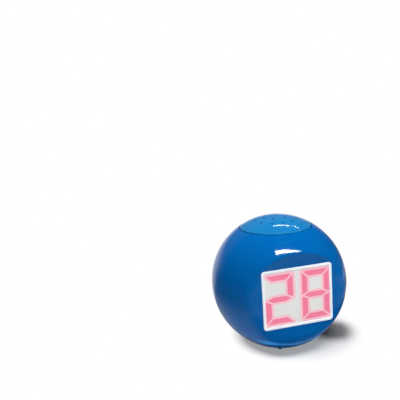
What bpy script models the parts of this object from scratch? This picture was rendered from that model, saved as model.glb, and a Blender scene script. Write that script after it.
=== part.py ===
# Electronic bingo game: a ball with a two-digit display, a push cap on top and a keypad behind.
# Metres, +Z up. The display faces -Y, the keypad +Y. The origin is on the table, midway between the
# display's front and the tip of the brow. Positions are worked out from the ball's centre, and every
# piece hangs on an empty placed there.
import bpy
import bmesh
from math import asin, atan2, cos, hypot, pi, radians, sin, sqrt, tan
from mathutils import Matrix, Vector

# The ball and its two shells. What grows with the ball is a share of its radius.
BALL_RADIUS = 0.065
WALL = 0.0024
FRONT_FLAT = 0.7308 * BALL_RADIUS           # from the ball's centre to the display face
FRONT_ROUND = 0.0035                        # rounding where the display face meets the ball
BACK_FLAT = 0.58 * BALL_RADIUS              # from the ball's centre to the keypad face
BROW_HEIGHT = 0.577 * BALL_RADIUS           # lower edge of the brow over the keypad
BROW_ARCH_RADIUS = 2.154 * BALL_RADIUS
BROW_SLOPE = radians(45)
BROW_REACH = 0.7042 * BALL_RADIUS           # from the ball's centre to the tip of the brow
LIP_HEIGHT = 0.0015         # tongue of the front shell inside the rear one
LIP_THICKNESS = 0.0010

# Clearances
GAP = 0.0003                # between pieces that touch
RUN_GAP = 0.0005            # round a piece that slides
SHELL_CLEARANCE = 0.0009    # between the inside of the shells and a round piece seated there
EMBED = 0.0003              # how far a rib or boss runs into the wall that carries it

# The push cap, its collar and its spring
CAP_RADIUS = 0.5262 * BALL_RADIUS
CAP_SEAM = 0.0006
CAP_WALL = 0.0020
CAP_TRAVEL = 0.0020
CAP_STOP_GAP = 0.0005
DISC_RADIUS = 0.848 * CAP_RADIUS
DISC_RAISE = 0.0005
FLANGE_REACH = 0.0018
FLANGE_THICKNESS = 0.0015
SKIRT_LENGTH = 0.0060       # below the flange's top
HOLE_RING_RADIUS = 0.585 * CAP_RADIUS
INNER_RING_RADIUS = 0.336 * CAP_RADIUS
SOUND_HOLE_RADIUS = 0.0010
SOUND_HOLES = 12
INNER_HOLES = 6
COLLAR_WALL = 0.0015
COLLAR_FLOOR = 0.0015
COLLAR_DEPTH = 0.0045       # from the tube's top to the floor
COLLAR_REACH = 0.0048       # foot of the collar, outside its tube
SPRING_RADIUS = 0.79 * CAP_RADIUS
SPRING_WIRE = 0.0006
SPRING_TURNS = 4
SWITCH_SIZE = 0.0060
SWITCH_BODY = 0.0035
SWITCH_PLUNGER = 0.0012
SWITCH_PLUNGER_RADIUS = 0.0017
SWITCH_RADIUS = 0.60 * CAP_RADIUS
SWITCH_ANGLE = radians(75)
STEM_RADIUS = 0.0022

# The loudspeaker
SPEAKER_RADIUS = 0.585 * CAP_RADIUS
SPEAKER_DEPTH = 0.0095
SPEAKER_SHEET = 0.0012
SPEAKER_RIM = 0.0038
SPEAKER_BACK_RADIUS = 0.575 * SPEAKER_RADIUS
MAGNET_RADIUS = 0.525 * SPEAKER_RADIUS
MAGNET_HEIGHT = 0.0060

# The display
WINDOW_WIDTH = 1.0277 * BALL_RADIUS
WINDOW_HEIGHT = 0.8492 * BALL_RADIUS
WINDOW_CORNER = 0.0030
WINDOW_THICKNESS = 0.0015
WINDOW_PROUD = 0.0004
WINDOW_LEDGE = 0.0020
DIGIT_WIDTH = 0.3952 * WINDOW_WIDTH
DIGIT_HEIGHT = 0.8225 * WINDOW_HEIGHT
DIGIT_SPACING = 0.521 * WINDOW_WIDTH
SEGMENT_SIDE = 0.2045 * DIGIT_WIDTH         # width of an upright segment
SEGMENT_LEVEL = 0.108 * DIGIT_HEIGHT        # height of a level segment
SEGMENT_MITRE = 0.0014
MASK_THICKNESS = 0.0010
GUIDE_THICKNESS = 0.0010
REFLECTOR_DEPTH = 0.0080
BOARD_THICKNESS = 0.0016
LED_BOARD_INSET = 0.0014     # from the window's side edges
LED_SIZE = 0.0030
LED_HEIGHT = 0.0014
POST_X = 0.30 * WINDOW_WIDTH
POST_RADIUS = 0.0029
BOARD_SCREW_RADIUS = 0.0011
BOARD_SCREW_HEAD_RADIUS = 0.0023
BOARD_SCREW_HEAD = 0.0015
BOARD_SCREW_LENGTH = 0.0060

# The keypad
KEY_RADIUS = 0.0631 * BALL_RADIUS
KEY_PITCH_X = 0.1808 * BALL_RADIUS
KEY_PITCH_Z = 0.2031 * BALL_RADIUS
KEYPAD_DROP = 0.1077 * BALL_RADIUS          # how far the keypad's middle lies under the ball's
KEY_PROUD = 0.0015
KEY_EDGE = 0.0005
KEY_TRAVEL = 0.0010
KEY_SEAM = 0.0004
KEY_FLANGE = 0.0011
KEY_FLANGE_THICKNESS = 0.0014
WIDE_KEY_LENGTH = 0.3538 * BALL_RADIUS
MAT_THICKNESS = 0.0008
DOME_HEIGHT = 0.0006
DOME_RADIUS = 0.88 * KEY_RADIUS
MAIN_BOARD_WIDTH = 1.0154 * BALL_RADIUS
MAIN_BOARD_HEIGHT = 1.0154 * BALL_RADIUS
STAKE_INSET_X = 0.0022      # from the main board's edges
STAKE_INSET_Z = 0.0040
STAKE_RADIUS = 0.0014
STAKE_SHOULDER = 0.0024
CHIP_SIZE = 0.18 * MAIN_BOARD_WIDTH
CHIP_HEIGHT = 0.0018

# Screws through the back of the case
CASE_SCREW_X = 0.6231 * BALL_RADIUS
CASE_SCREW_TOP = 0.4231 * BALL_RADIUS
CASE_SCREW_BOTTOM = -0.3692 * BALL_RADIUS
WELL_RADIUS = 0.0032
WELL_WALL = 0.0017
WELL_FLOOR = 0.1231 * BALL_RADIUS
CASE_SCREW_RADIUS = 0.0014
CASE_SCREW_HEAD_RADIUS = 0.0027
CASE_SCREW_HEAD = 0.0022
CASE_SCREW_REACH = 0.0120   # of its shank, in the front shell
FRONT_BOSS_RADIUS = 0.0045

# The base, the battery bay and its door
BASE_FLAT_RADIUS = 0.40 * BALL_RADIUS
TRAY_RADIUS = 0.5123 * BALL_RADIUS
TRAY_RIM_WALL = 0.0021
TRAY_FLANGE = 0.0025
CELL_RADIUS = 0.0808 * BALL_RADIUS          # an AAA cell in a ball of this size
CELL_LENGTH = 0.6846 * BALL_RADIUS
CELL_NUB_RADIUS = 0.0019
CELL_NUB = 0.0010
CELL_PITCH = 2 * CELL_RADIUS + RUN_GAP
CELLS = 3
CONTACT_ROOM = 0.0846 * BALL_RADIUS         # both ends together
BAY_SHIFT = -0.0154 * BALL_RADIUS           # the bay makes room for the door's screw
BAY_WALL = 0.0018
BAY_LEDGE = 0.0010
DOOR_THICKNESS = 0.0020
DOOR_CORNER = 0.0030
DOOR_BLANK = 0.0160         # block that the door and its opening are cut from
DOOR_EAR_RADIUS = 0.0492 * BALL_RADIUS
TONGUE_Y = CELL_PITCH / 2
TONGUE_WIDTH = 0.0034
TONGUE_REACH = 0.0011
TONGUE_THICKNESS = 0.0010
DOOR_SCREW_RADIUS = 0.0011
DOOR_SCREW_HEAD_RADIUS = 0.0022
DOOR_SCREW_HEAD = 0.0010
DOOR_SCREW_LENGTH = 0.0050
CONTACT_SHEET = 0.0003
CONTACT_WIDTH = 0.0070
CONTACT_HEIGHT = 0.0060
CONTACT_SPRING_RADIUS = 0.0024
CONTACT_WIRE = 0.00025
CONTACT_TURNS = 2
FOOT_RADIUS = 0.0431 * BALL_RADIUS
FOOT_PROUD = 0.0015
FOOT_RECESS = 0.0006
FOOT_X = 0.1385 * BALL_RADIUS
FOOT_Y = 0.3262 * BALL_RADIUS

# Facets
BALL_STEPS = 36
BALL_ARC = 6
ROUND_STEPS = 28
SMALL_STEPS = 10
TINY_STEPS = 8
WELD_DISTANCE = 0.000002    # joins the points that two cuts leave in one place

inner_radius = BALL_RADIUS - WALL
seat_radius = inner_radius - SHELL_CLEARANCE
base_flat_z = -sqrt(BALL_RADIUS ** 2 - BASE_FLAT_RADIUS ** 2)
centre_height = FOOT_PROUD - base_flat_z

for old in list(bpy.data.objects):
    bpy.data.objects.remove(old, do_unlink=True)

parts = bpy.data.collections.new("electronic_bingo_game")
cutters = bpy.data.collections.new("cutters")
for group in (parts, cutters):
    bpy.context.scene.collection.children.link(group)

ball_centre = bpy.data.objects.new("ball_centre", None)
ball_centre.location = (0, (FRONT_FLAT + WINDOW_PROUD - BROW_REACH) / 2, centre_height)
parts.objects.link(ball_centre)

# A turned profile's own +Z points this way once it is placed
TURN_UP = (0, 0, 0)
TURN_DOWN = (pi, 0, 0)
TURN_FRONT = (pi / 2, 0, 0)
TURN_BACK = (-pi / 2, 0, 0)


def add_object(name, data, place=(0, 0, 0), turn=TURN_UP, cutter=False):
    made = bpy.data.objects.new(name, data)
    made.location = place
    made.rotation_euler = turn
    made.parent = ball_centre
    if cutter:
        cutters.objects.link(made)
        made.hide_render = True
        made.display_type = 'WIRE'
    else:
        parts.objects.link(made)
    return made


def finish(made, colour, roughness, metallic=0.0):
    surface = bpy.data.materials.new(made.name)
    surface.use_nodes = True
    shader = surface.node_tree.nodes["Principled BSDF"]
    shader.inputs["Base Color"].default_value = (*colour, 1)
    shader.inputs["Roughness"].default_value = roughness
    shader.inputs["Metallic"].default_value = metallic
    surface.diffuse_color = (*colour, 1)
    made.data.materials.clear()
    made.data.materials.append(surface)
    return made


BLUE = (0.004, 0.115, 0.46)
DARK_BLUE = (0.003, 0.07, 0.30)
WHITE = (0.86, 0.86, 0.90)
GREY = (0.72, 0.72, 0.70)
MILK = (0.90, 0.88, 0.88)
BOARD_GREEN = (0.02, 0.22, 0.09)
STEEL = (0.62, 0.62, 0.64)
BLACK = (0.02, 0.02, 0.022)
RUBBER = (0.05, 0.05, 0.055)
PAPER = (0.10, 0.10, 0.10)
CELL_COLOUR = (0.30, 0.31, 0.33)


# Points of an arc, angles measured from +Z of the profile towards +X
def arc(radius, start, end, count, centre=(0.0, 0.0)):
    angles = [start + (end - start) * i / (count - 1) for i in range(count)]
    return [(centre[0] + radius * sin(a), centre[1] + radius * cos(a)) for a in angles]


# A turned piece: an open profile starts and ends on the axis, a closed one goes round a ring
def turned(name, profile, steps, place=(0, 0, 0), turn=TURN_UP, closed=False, cutter=False):
    mesh = bpy.data.meshes.new(name)
    edges = [(i, i + 1) for i in range(len(profile) - 1)]
    if closed:
        edges.append((len(profile) - 1, 0))
    mesh.from_pydata([(x, 0, z) for x, z in profile], edges, [])
    made = add_object(name, mesh, place, turn, cutter)
    screw = made.modifiers.new("Turn", 'SCREW')
    screw.axis = 'Z'
    screw.steps = steps
    screw.render_steps = steps
    screw.use_merge_vertices = True
    screw.merge_threshold = 0.00001
    return made


# Solid cylinders between pairs of points, in one mesh
def cylinders(name, ends, radius, steps, cutter=False):
    bm = bmesh.new()
    for start, end in ends:
        a, b = Vector(start), Vector(end)
        aim = Vector((0, 0, 1)).rotation_difference(b - a).to_matrix().to_4x4()
        bmesh.ops.create_cone(bm, cap_ends=True, segments=steps, radius1=radius, radius2=radius,
                              depth=(b - a).length, matrix=Matrix.Translation((a + b) / 2) @ aim)
    mesh = bpy.data.meshes.new(name)
    bm.to_mesh(mesh)
    bm.free()
    return add_object(name, mesh, cutter=cutter)


# Solid boxes given by their lowest and highest corners, each turned about the ball's upright axis
def boxes(name, corners, cutter=False):
    bm = bmesh.new()
    for low, high, heading in corners:
        low, high = Vector(low), Vector(high)
        size = Matrix.Diagonal((*(high - low), 1))
        place = Matrix.Rotation(heading, 4, 'Z') @ Matrix.Translation((low + high) / 2)
        bmesh.ops.create_cube(bm, size=1, matrix=place @ size)
    mesh = bpy.data.meshes.new(name)
    bm.to_mesh(mesh)
    bm.free()
    return add_object(name, mesh, cutter=cutter)


# A flat plate cut from outlines: the first is its edge, the others are holes
def plate(name, outlines, thickness, place=(0, 0, 0), turn=TURN_UP, cutter=False):
    curve = bpy.data.curves.new(name, 'CURVE')
    curve.dimensions = '2D'
    curve.fill_mode = 'BOTH'
    curve.extrude = thickness / 2
    for outline in outlines:
        spline = curve.splines.new('POLY')
        spline.points.add(len(outline) - 1)
        for point, (x, y) in zip(spline.points, outline):
            point.co = (x, y, 0, 1)
        spline.use_cyclic_u = True
    flat = bpy.data.objects.new(name + "_outline", curve)
    return solid_from_curve(name, flat, place, turn, cutter)


# The closed mesh of a curve, with its caps welded on
def solid_from_curve(name, curve_object, place, turn, cutter):
    cutters.objects.link(curve_object)
    graph = bpy.context.evaluated_depsgraph_get()
    mesh = bpy.data.meshes.new_from_object(curve_object.evaluated_get(graph))
    bpy.data.objects.remove(curve_object, do_unlink=True)
    bm = bmesh.new()
    bm.from_mesh(mesh)
    bmesh.ops.remove_doubles(bm, verts=bm.verts, dist=0.000001)
    bmesh.ops.recalc_face_normals(bm, faces=bm.faces)
    bm.to_mesh(mesh)
    bm.free()
    mesh.name = name
    return add_object(name, mesh, place, turn, cutter)


def combine(made, other, operation='DIFFERENCE'):
    step = made.modifiers.new(other.name, 'BOOLEAN')
    step.operation = operation
    step.object = other
    step.solver = 'EXACT'
    weld = made.modifiers.new("Weld", 'WELD')
    weld.merge_threshold = WELD_DISTANCE
    return made


def round_edges(made, width, segments=1):
    bevel = made.modifiers.new("Round", 'BEVEL')
    bevel.width = width
    bevel.segments = segments
    bevel.limit_method = 'ANGLE'
    bevel.angle_limit = radians(50)
    return made


def rounded_rectangle(width, height, corner, centre=(0.0, 0.0), steps=4):
    points = []
    for turn, (sx, sy) in enumerate([(1, 1), (-1, 1), (-1, -1), (1, -1)]):
        middle = (centre[0] + sx * (width / 2 - corner), centre[1] + sy * (height / 2 - corner))
        for i in range(steps + 1):
            a = (turn + i / steps) * pi / 2
            points.append((middle[0] + corner * cos(a), middle[1] + corner * sin(a)))
    return points


# Height of a sphere about the ball's centre, over a point at this distance from its axis
def rise(sphere, distance):
    return sqrt(sphere ** 2 - distance ** 2)


# Half of the ball with the display face, inset by a wall or less
def front_form(name, inset, tail, cutter=False):
    ball = BALL_RADIUS - inset
    flat = FRONT_FLAT - inset
    corner = max(FRONT_ROUND - inset, 2 * GAP)
    reach = rise(ball - corner, flat - corner)
    lean = atan2(reach, flat - corner)
    profile = [(0, flat)]
    profile += arc(corner, 0, lean, 4, (reach, flat - corner))
    profile += arc(ball, lean, pi / 2, BALL_ARC)[1:]
    profile += tail
    return turned(name, profile, BALL_STEPS, turn=TURN_FRONT, cutter=cutter)


# Space in front of the keypad: a flat face under an arched, sloping brow, grown by an inset
def keypad_space(name, inset):
    depth = BALL_RADIUS
    low = BACK_FLAT - inset
    swell = inset / cos(BROW_SLOPE)
    profile = [(0, depth + low)]
    profile.append((BROW_ARCH_RADIUS + swell + (depth - inset) * tan(BROW_SLOPE), depth + low))
    profile.append((BROW_ARCH_RADIUS + swell - inset * tan(BROW_SLOPE), low))
    profile.append((0, low))
    middle = (0, 0, BROW_HEIGHT - BROW_ARCH_RADIUS)
    return turned(name, profile, 2 * BALL_STEPS, place=middle, turn=TURN_BACK, cutter=True)


# Half of the ball with the keypad face, inset by a wall or less
def rear_form(name, inset, tail, cutter=False):
    profile = arc(BALL_RADIUS - inset, 0, pi / 2, BALL_ARC + 2)[:-1] + tail
    made = turned(name, profile, BALL_STEPS, turn=TURN_BACK, cutter=cutter)
    return combine(made, keypad_space(name + "_keypad_space", inset))


# Bottom of the ball with its flat, inset by a wall or less, as a turned solid up to a level
def base_form(name, inset, top, cutter=True):
    ball = BALL_RADIUS - inset
    flat = -base_flat_z - inset
    rim = asin(min(rise(ball, flat) / ball, 1))
    level = -top
    profile = [(0, flat)] + arc(ball, rim, atan2(rise(ball, level), level), 7)
    profile.append((0, level))
    return turned(name, profile, BALL_STEPS, turn=TURN_DOWN, cutter=cutter)


def polar(radius, angle):
    return radius * cos(angle), radius * sin(angle)


# Case screws: in the middle of each well, as seen from behind
case_screw_spots = [(side * CASE_SCREW_X, level) for level in (CASE_SCREW_TOP, CASE_SCREW_BOTTOM)
                    for side in (-1, 1)]
post_z = WINDOW_HEIGHT / 2 + POST_RADIUS + GAP
post_spots = [(sx * POST_X, sz * post_z) for sz in (1, -1) for sx in (-1, 1)]
stake_x = MAIN_BOARD_WIDTH / 2 - STAKE_INSET_X
stake_rise = MAIN_BOARD_HEIGHT / 2 - STAKE_INSET_Z

# Levels of the display's layers, from the front
window_front = FRONT_FLAT + WINDOW_PROUD
window_back = window_front - WINDOW_THICKNESS
ledge_front = window_back - GAP
mask_front = ledge_front
mask_back = mask_front - MASK_THICKNESS
guide_front = mask_front - GAP
guide_back = mask_back - GAP - GUIDE_THICKNESS
reflector_front = guide_back - GAP
reflector_back = reflector_front - REFLECTOR_DEPTH
led_board_front = reflector_back - GAP
led_board_back = led_board_front - BOARD_THICKNESS
opening_width = WINDOW_WIDTH + 2 * GAP - 2 * WINDOW_LEDGE
opening_height = WINDOW_HEIGHT + 2 * GAP - 2 * WINDOW_LEDGE
stack_width = opening_width - 2 * GAP
stack_height = opening_height - 2 * GAP

# Levels of the keypad's layers, from the back
panel_inside = BACK_FLAT - WALL
key_flange_top = panel_inside - GAP
key_bottom = key_flange_top - KEY_FLANGE_THICKNESS
dome_top = key_bottom - KEY_TRAVEL - GAP
mat_back = dome_top - DOME_HEIGHT - MAT_THICKNESS
main_board_top = mat_back - GAP
main_board_bottom = main_board_top - BOARD_THICKNESS

# Heights under the cap
cap_hole_radius = CAP_RADIUS + CAP_SEAM
flange_radius = CAP_RADIUS + FLANGE_REACH
flange_top = rise(seat_radius, flange_radius)
flange_bottom = flange_top - FLANGE_THICKNESS
skirt_bottom = flange_top - SKIRT_LENGTH
skirt_inside = CAP_RADIUS - CAP_WALL
collar_top = flange_bottom - CAP_TRAVEL - CAP_STOP_GAP
collar_floor_top = collar_top - COLLAR_DEPTH
collar_floor_bottom = collar_floor_top - COLLAR_FLOOR
collar_inside = CAP_RADIUS + RUN_GAP
collar_outside = collar_inside + COLLAR_WALL
collar_reach = collar_outside + COLLAR_REACH
spring_bottom = collar_floor_top + GAP
switch_top = collar_floor_top + GAP + SWITCH_BODY + SWITCH_PLUNGER
switch_spot = polar(SWITCH_RADIUS, SWITCH_ANGLE)

# The base and the battery bay
tray_hole_radius = TRAY_RADIUS + GAP
bay_length = CELL_LENGTH + CONTACT_ROOM
bay_low_x = BAY_SHIFT - bay_length / 2
bay_high_x = BAY_SHIFT + bay_length / 2
bay_half_y = (CELLS - 1) * CELL_PITCH / 2 + CELL_RADIUS + GAP
door_low_x = bay_low_x - BAY_LEDGE + GAP
door_high_x = bay_high_x + BAY_LEDGE
door_half_y = bay_half_y + BAY_LEDGE - GAP
door_ear_x = door_high_x + 0.875 * DOOR_EAR_RADIUS
door_top = base_flat_z + DOOR_THICKNESS
tongue_low = door_top + GAP
tongue_high = tongue_low + TONGUE_THICKNESS
notch_start = door_low_x - TONGUE_REACH - GAP
notch_half = TONGUE_WIDTH / 2 + GAP
notch_top = base_flat_z + hypot(TONGUE_REACH, tongue_high - base_flat_z) + GAP
door_blank_place = (0, 0, base_flat_z - DOOR_THICKNESS)
cell_height = base_flat_z + DOOR_THICKNESS + GAP + CELL_RADIUS
bay_roof = cell_height + CELL_RADIUS + GAP
cell_start = bay_low_x + CONTACT_ROOM / 2


def make_front_shell():
    tongue = inner_radius + LIP_THICKNESS
    shell = front_form("front_shell", 0, [(tongue, 0), (tongue, -LIP_HEIGHT), (0, -LIP_HEIGHT)])
    below = -LIP_HEIGHT - WALL
    cavity = front_form("front_cavity", WALL, [(inner_radius, below), (0, below)], cutter=True)
    combine(shell, cavity)
    # Screw bosses, board posts and the ribs under the collar, trimmed to the inside of the wall
    core = front_form("front_core", WALL - EMBED, [(BALL_RADIUS - WALL + EMBED, below), (0, below)],
                      cutter=True)
    bosses = cylinders("front_bosses", [((x, 0, z), (x, -FRONT_FLAT, z)) for x, z in case_screw_spots],
                       FRONT_BOSS_RADIUS, SMALL_STEPS, cutter=True)
    posts = cylinders("front_posts", [((x, -led_board_front - GAP, z), (x, -FRONT_FLAT, z))
                                      for x, z in post_spots], POST_RADIUS, SMALL_STEPS, cutter=True)
    ribs = collar_ribs("front_ribs", (-150, -90, -30))
    for inside in (bosses, posts, ribs):
        combine(inside, core, 'INTERSECT')
        combine(shell, inside, 'UNION')
    corner = WINDOW_CORNER + GAP
    recess = plate("window_recess", [rounded_rectangle(WINDOW_WIDTH + 2 * GAP, WINDOW_HEIGHT + 2 * GAP,
                                                       corner)], WALL,
                   (0, -ledge_front - WALL / 2, 0), TURN_FRONT, cutter=True)
    opening = plate("window_opening", [rounded_rectangle(opening_width, opening_height, corner / 2)],
                    4 * WALL, (0, -FRONT_FLAT, 0), TURN_FRONT, cutter=True)
    screw_holes = cylinders("front_screw_holes", [((x, WALL, z), (x, -CASE_SCREW_REACH - WALL, z))
                                                  for x, z in case_screw_spots],
                            CASE_SCREW_RADIUS + GAP, SMALL_STEPS, cutter=True)
    post_holes = cylinders("post_holes", [((x, -led_board_front + WALL, z),
                                           (x, -led_board_back - BOARD_SCREW_LENGTH - GAP, z))
                                          for x, z in post_spots],
                           BOARD_SCREW_RADIUS + GAP, SMALL_STEPS, cutter=True)
    for space in (recess, opening, screw_holes, post_holes, *pole_holes):
        combine(shell, space)
    return finish(shell, BLUE, 0.12)


# Ribs on the inside of a shell that carry the collar's foot
def collar_ribs(name, headings):
    top = collar_floor_bottom - GAP
    rib = ((collar_outside - COLLAR_WALL, -CAP_WALL / 2, top - 2 * WALL), (BALL_RADIUS, CAP_WALL / 2, top))
    return boxes(name, [(*rib, radians(heading)) for heading in headings], cutter=True)


# The round holes at the top and the bottom that both shells share
def make_pole_holes():
    low = collar_top - WALL
    return [turned("cap_hole", [(0, BALL_RADIUS + WALL), (cap_hole_radius, BALL_RADIUS + WALL),
                                (cap_hole_radius, low), (0, low)], BALL_STEPS, cutter=True),
            turned("base_hole", [(0, -low), (tray_hole_radius, -low),
                                 (tray_hole_radius, -BALL_RADIUS - WALL), (0, -BALL_RADIUS - WALL)],
                   BALL_STEPS, cutter=True)]


def make_rear_shell():
    rebate = inner_radius + LIP_THICKNESS + GAP
    step = LIP_HEIGHT + 2 * GAP
    shell = rear_form("rear_shell", 0, [(BALL_RADIUS, GAP), (rebate, GAP), (rebate, step), (0, step)])
    combine(shell, rear_form("rear_cavity", WALL, [(inner_radius, 0), (inner_radius, -WALL), (0, -WALL)],
                             cutter=True))
    trimmed = inner_radius + EMBED
    core = rear_form("rear_core", WALL - EMBED, [(trimmed, 0), (trimmed, -WALL), (0, -WALL)], cutter=True)
    wells = cylinders("well_tubes", [((x, GAP, z), (x, BALL_RADIUS, z)) for x, z in case_screw_spots],
                      WELL_RADIUS + WELL_WALL, SMALL_STEPS, cutter=True)
    shoulders = cylinders("stake_shoulders", [((x, main_board_top + GAP, z), (x, BALL_RADIUS, z))
                                              for x, z in stake_spots()],
                          STAKE_SHOULDER, SMALL_STEPS, cutter=True)
    stakes = cylinders("stakes", [((x, main_board_bottom - WALL / 2, z), (x, panel_inside, z))
                                  for x, z in stake_spots()], STAKE_RADIUS, SMALL_STEPS, cutter=True)
    ribs = collar_ribs("rear_ribs", (25, 60, 120, 155))
    for inside in (wells, shoulders, stakes, ribs):
        combine(inside, core, 'INTERSECT')
        combine(shell, inside, 'UNION')
    well_bores = cylinders("well_bores", [((x, WELL_FLOOR, z), (x, BALL_RADIUS, z))
                                          for x, z in case_screw_spots], WELL_RADIUS, SMALL_STEPS,
                           cutter=True)
    screw_holes = cylinders("rear_screw_holes", [((x, -WALL, z), (x, WELL_FLOOR + WALL, z))
                                                 for x, z in case_screw_spots],
                            CASE_SCREW_RADIUS + GAP, SMALL_STEPS, cutter=True)
    key_holes = cylinders("key_holes", [((x, key_bottom, z), (x, BACK_FLAT + WALL, z))
                                        for name, x, z in key_spots()],
                          KEY_RADIUS + KEY_SEAM, SMALL_STEPS, cutter=True)
    wide_hole = plate("wide_key_hole", [stadium(WIDE_KEY_LENGTH, KEY_RADIUS, KEY_SEAM)], 4 * WALL,
                      (0, BACK_FLAT, wide_key_z()), TURN_BACK, cutter=True)
    for space in (well_bores, screw_holes, key_holes, wide_hole, *pole_holes):
        combine(shell, space)
    return finish(shell, BLUE, 0.12)


def stake_spots():
    return [(sx * stake_x, sz * stake_rise - KEYPAD_DROP) for sz in (1, -1) for sx in (-1, 1)]


# Names and places of the round keys: a block of nine digits, a zero, and a column on each side
def key_spots():
    spots = []
    for digit in range(1, 10):
        column = (digit - 1) % 3 - 1
        row = (digit - 1) // 3 - 1
        spots.append(("key_%d" % digit, -column * KEY_PITCH_X, row * KEY_PITCH_Z - KEYPAD_DROP))
    spots.append(("key_0", 0, -2 * KEY_PITCH_Z - KEYPAD_DROP))
    for side, heading in (("left", 1), ("right", -1)):
        for number in range(4):
            height = (1.5 - number) * KEY_PITCH_Z - KEYPAD_DROP
            spots.append(("key_%s_%d" % (side, number + 1), heading * 2 * KEY_PITCH_X, height))
    return spots


def wide_key_z():
    return 2 * KEY_PITCH_Z - KEYPAD_DROP


# Outline with two straight sides and round ends, grown by a margin
def stadium(length, radius, margin):
    points = []
    for side in (1, -1):
        middle = side * (length / 2 - radius)
        for i in range(7):
            a = side * pi / 2 * (i / 3 - 1)
            points.append((middle + side * (radius + margin) * cos(a), (radius + margin) * sin(a)))
    return points


def make_keys():
    proud = BACK_FLAT + KEY_PROUD
    flange = KEY_RADIUS + KEY_SEAM + KEY_FLANGE
    profile = [(0, proud), (KEY_RADIUS - KEY_EDGE, proud), (KEY_RADIUS, proud - KEY_EDGE),
               (KEY_RADIUS, key_flange_top), (flange, key_flange_top), (flange, key_bottom),
               (0, key_bottom)]
    profile = [(x, z - BACK_FLAT) for x, z in profile]
    for name, x, z in key_spots():
        finish(turned(name, profile, SMALL_STEPS, (x, BACK_FLAT, z), TURN_BACK), DARK_BLUE, 0.35)
    wide = plate("key_wide", [stadium(WIDE_KEY_LENGTH, KEY_RADIUS, 0)], proud - key_bottom - GAP,
                 (0, (proud + key_bottom + GAP) / 2, wide_key_z()), TURN_BACK)
    round_edges(wide, KEY_EDGE)
    foot = plate("wide_key_flange", [stadium(WIDE_KEY_LENGTH, KEY_RADIUS, KEY_SEAM + KEY_FLANGE)],
                 KEY_FLANGE_THICKNESS, (0, key_bottom + KEY_FLANGE_THICKNESS / 2, wide_key_z()), TURN_BACK,
                 cutter=True)
    combine(wide, foot, 'UNION')
    finish(wide, DARK_BLUE, 0.35)


def make_keypad_mat():
    half = 2 * KEY_PITCH_X + DOME_RADIUS + GAP
    top = wide_key_z() + DOME_RADIUS + GAP
    bottom = -2 * KEY_PITCH_Z - KEYPAD_DROP - DOME_RADIUS - GAP
    mat = boxes("keypad_mat", [((-half, mat_back, bottom), (half, mat_back + MAT_THICKNESS, top), 0)])
    ends = [((x, mat_back + MAT_THICKNESS / 2, z), (x, dome_top, z)) for name, x, z in key_spots()]
    ends += [((side * WIDE_KEY_LENGTH / 4, mat_back + MAT_THICKNESS / 2, wide_key_z()),
              (side * WIDE_KEY_LENGTH / 4, dome_top, wide_key_z())) for side in (-1, 1)]
    combine(mat, cylinders("domes", ends, DOME_RADIUS, 6, cutter=True), 'UNION')
    return finish(mat, GREY, 0.7)


def make_main_board():
    half_x = MAIN_BOARD_WIDTH / 2
    half_z = MAIN_BOARD_HEIGHT / 2
    board = boxes("main_board", [((-half_x, main_board_bottom, -half_z - KEYPAD_DROP),
                                  (half_x, main_board_top, half_z - KEYPAD_DROP), 0)])
    low = main_board_bottom - CHIP_HEIGHT
    half = CHIP_SIZE / 2
    chips = [((-half, low, -half), (half, main_board_bottom + EMBED, half), 0),
             ((CHIP_SIZE, low, half), (2 * CHIP_SIZE, main_board_bottom + EMBED, CHIP_SIZE), 0),
             ((-2 * CHIP_SIZE, low, -CHIP_SIZE), (-CHIP_SIZE, main_board_bottom + EMBED, -half), 0)]
    combine(board, boxes("main_chips", chips, cutter=True), 'UNION')
    holes = cylinders("stake_holes", [((x, main_board_bottom - WALL, z), (x, main_board_top + WALL, z))
                                      for x, z in stake_spots()], STAKE_RADIUS + GAP, SMALL_STEPS,
                      cutter=True)
    combine(board, holes)
    return finish(board, BOARD_GREEN, 0.45)


# What is left of a convex outline on the inner side of a line
def trim(outline, through, outward):
    kept = []
    for i, b in enumerate(outline):
        a = outline[i - 1]
        da = (a[0] - through[0]) * outward[0] + (a[1] - through[1]) * outward[1]
        db = (b[0] - through[0]) * outward[0] + (b[1] - through[1]) * outward[1]
        if da * db < 0:
            t = da / (da - db)
            kept.append((a[0] + t * (b[0] - a[0]), a[1] + t * (b[1] - a[1])))
        if db <= 0:
            kept.append(b)
    return kept


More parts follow.
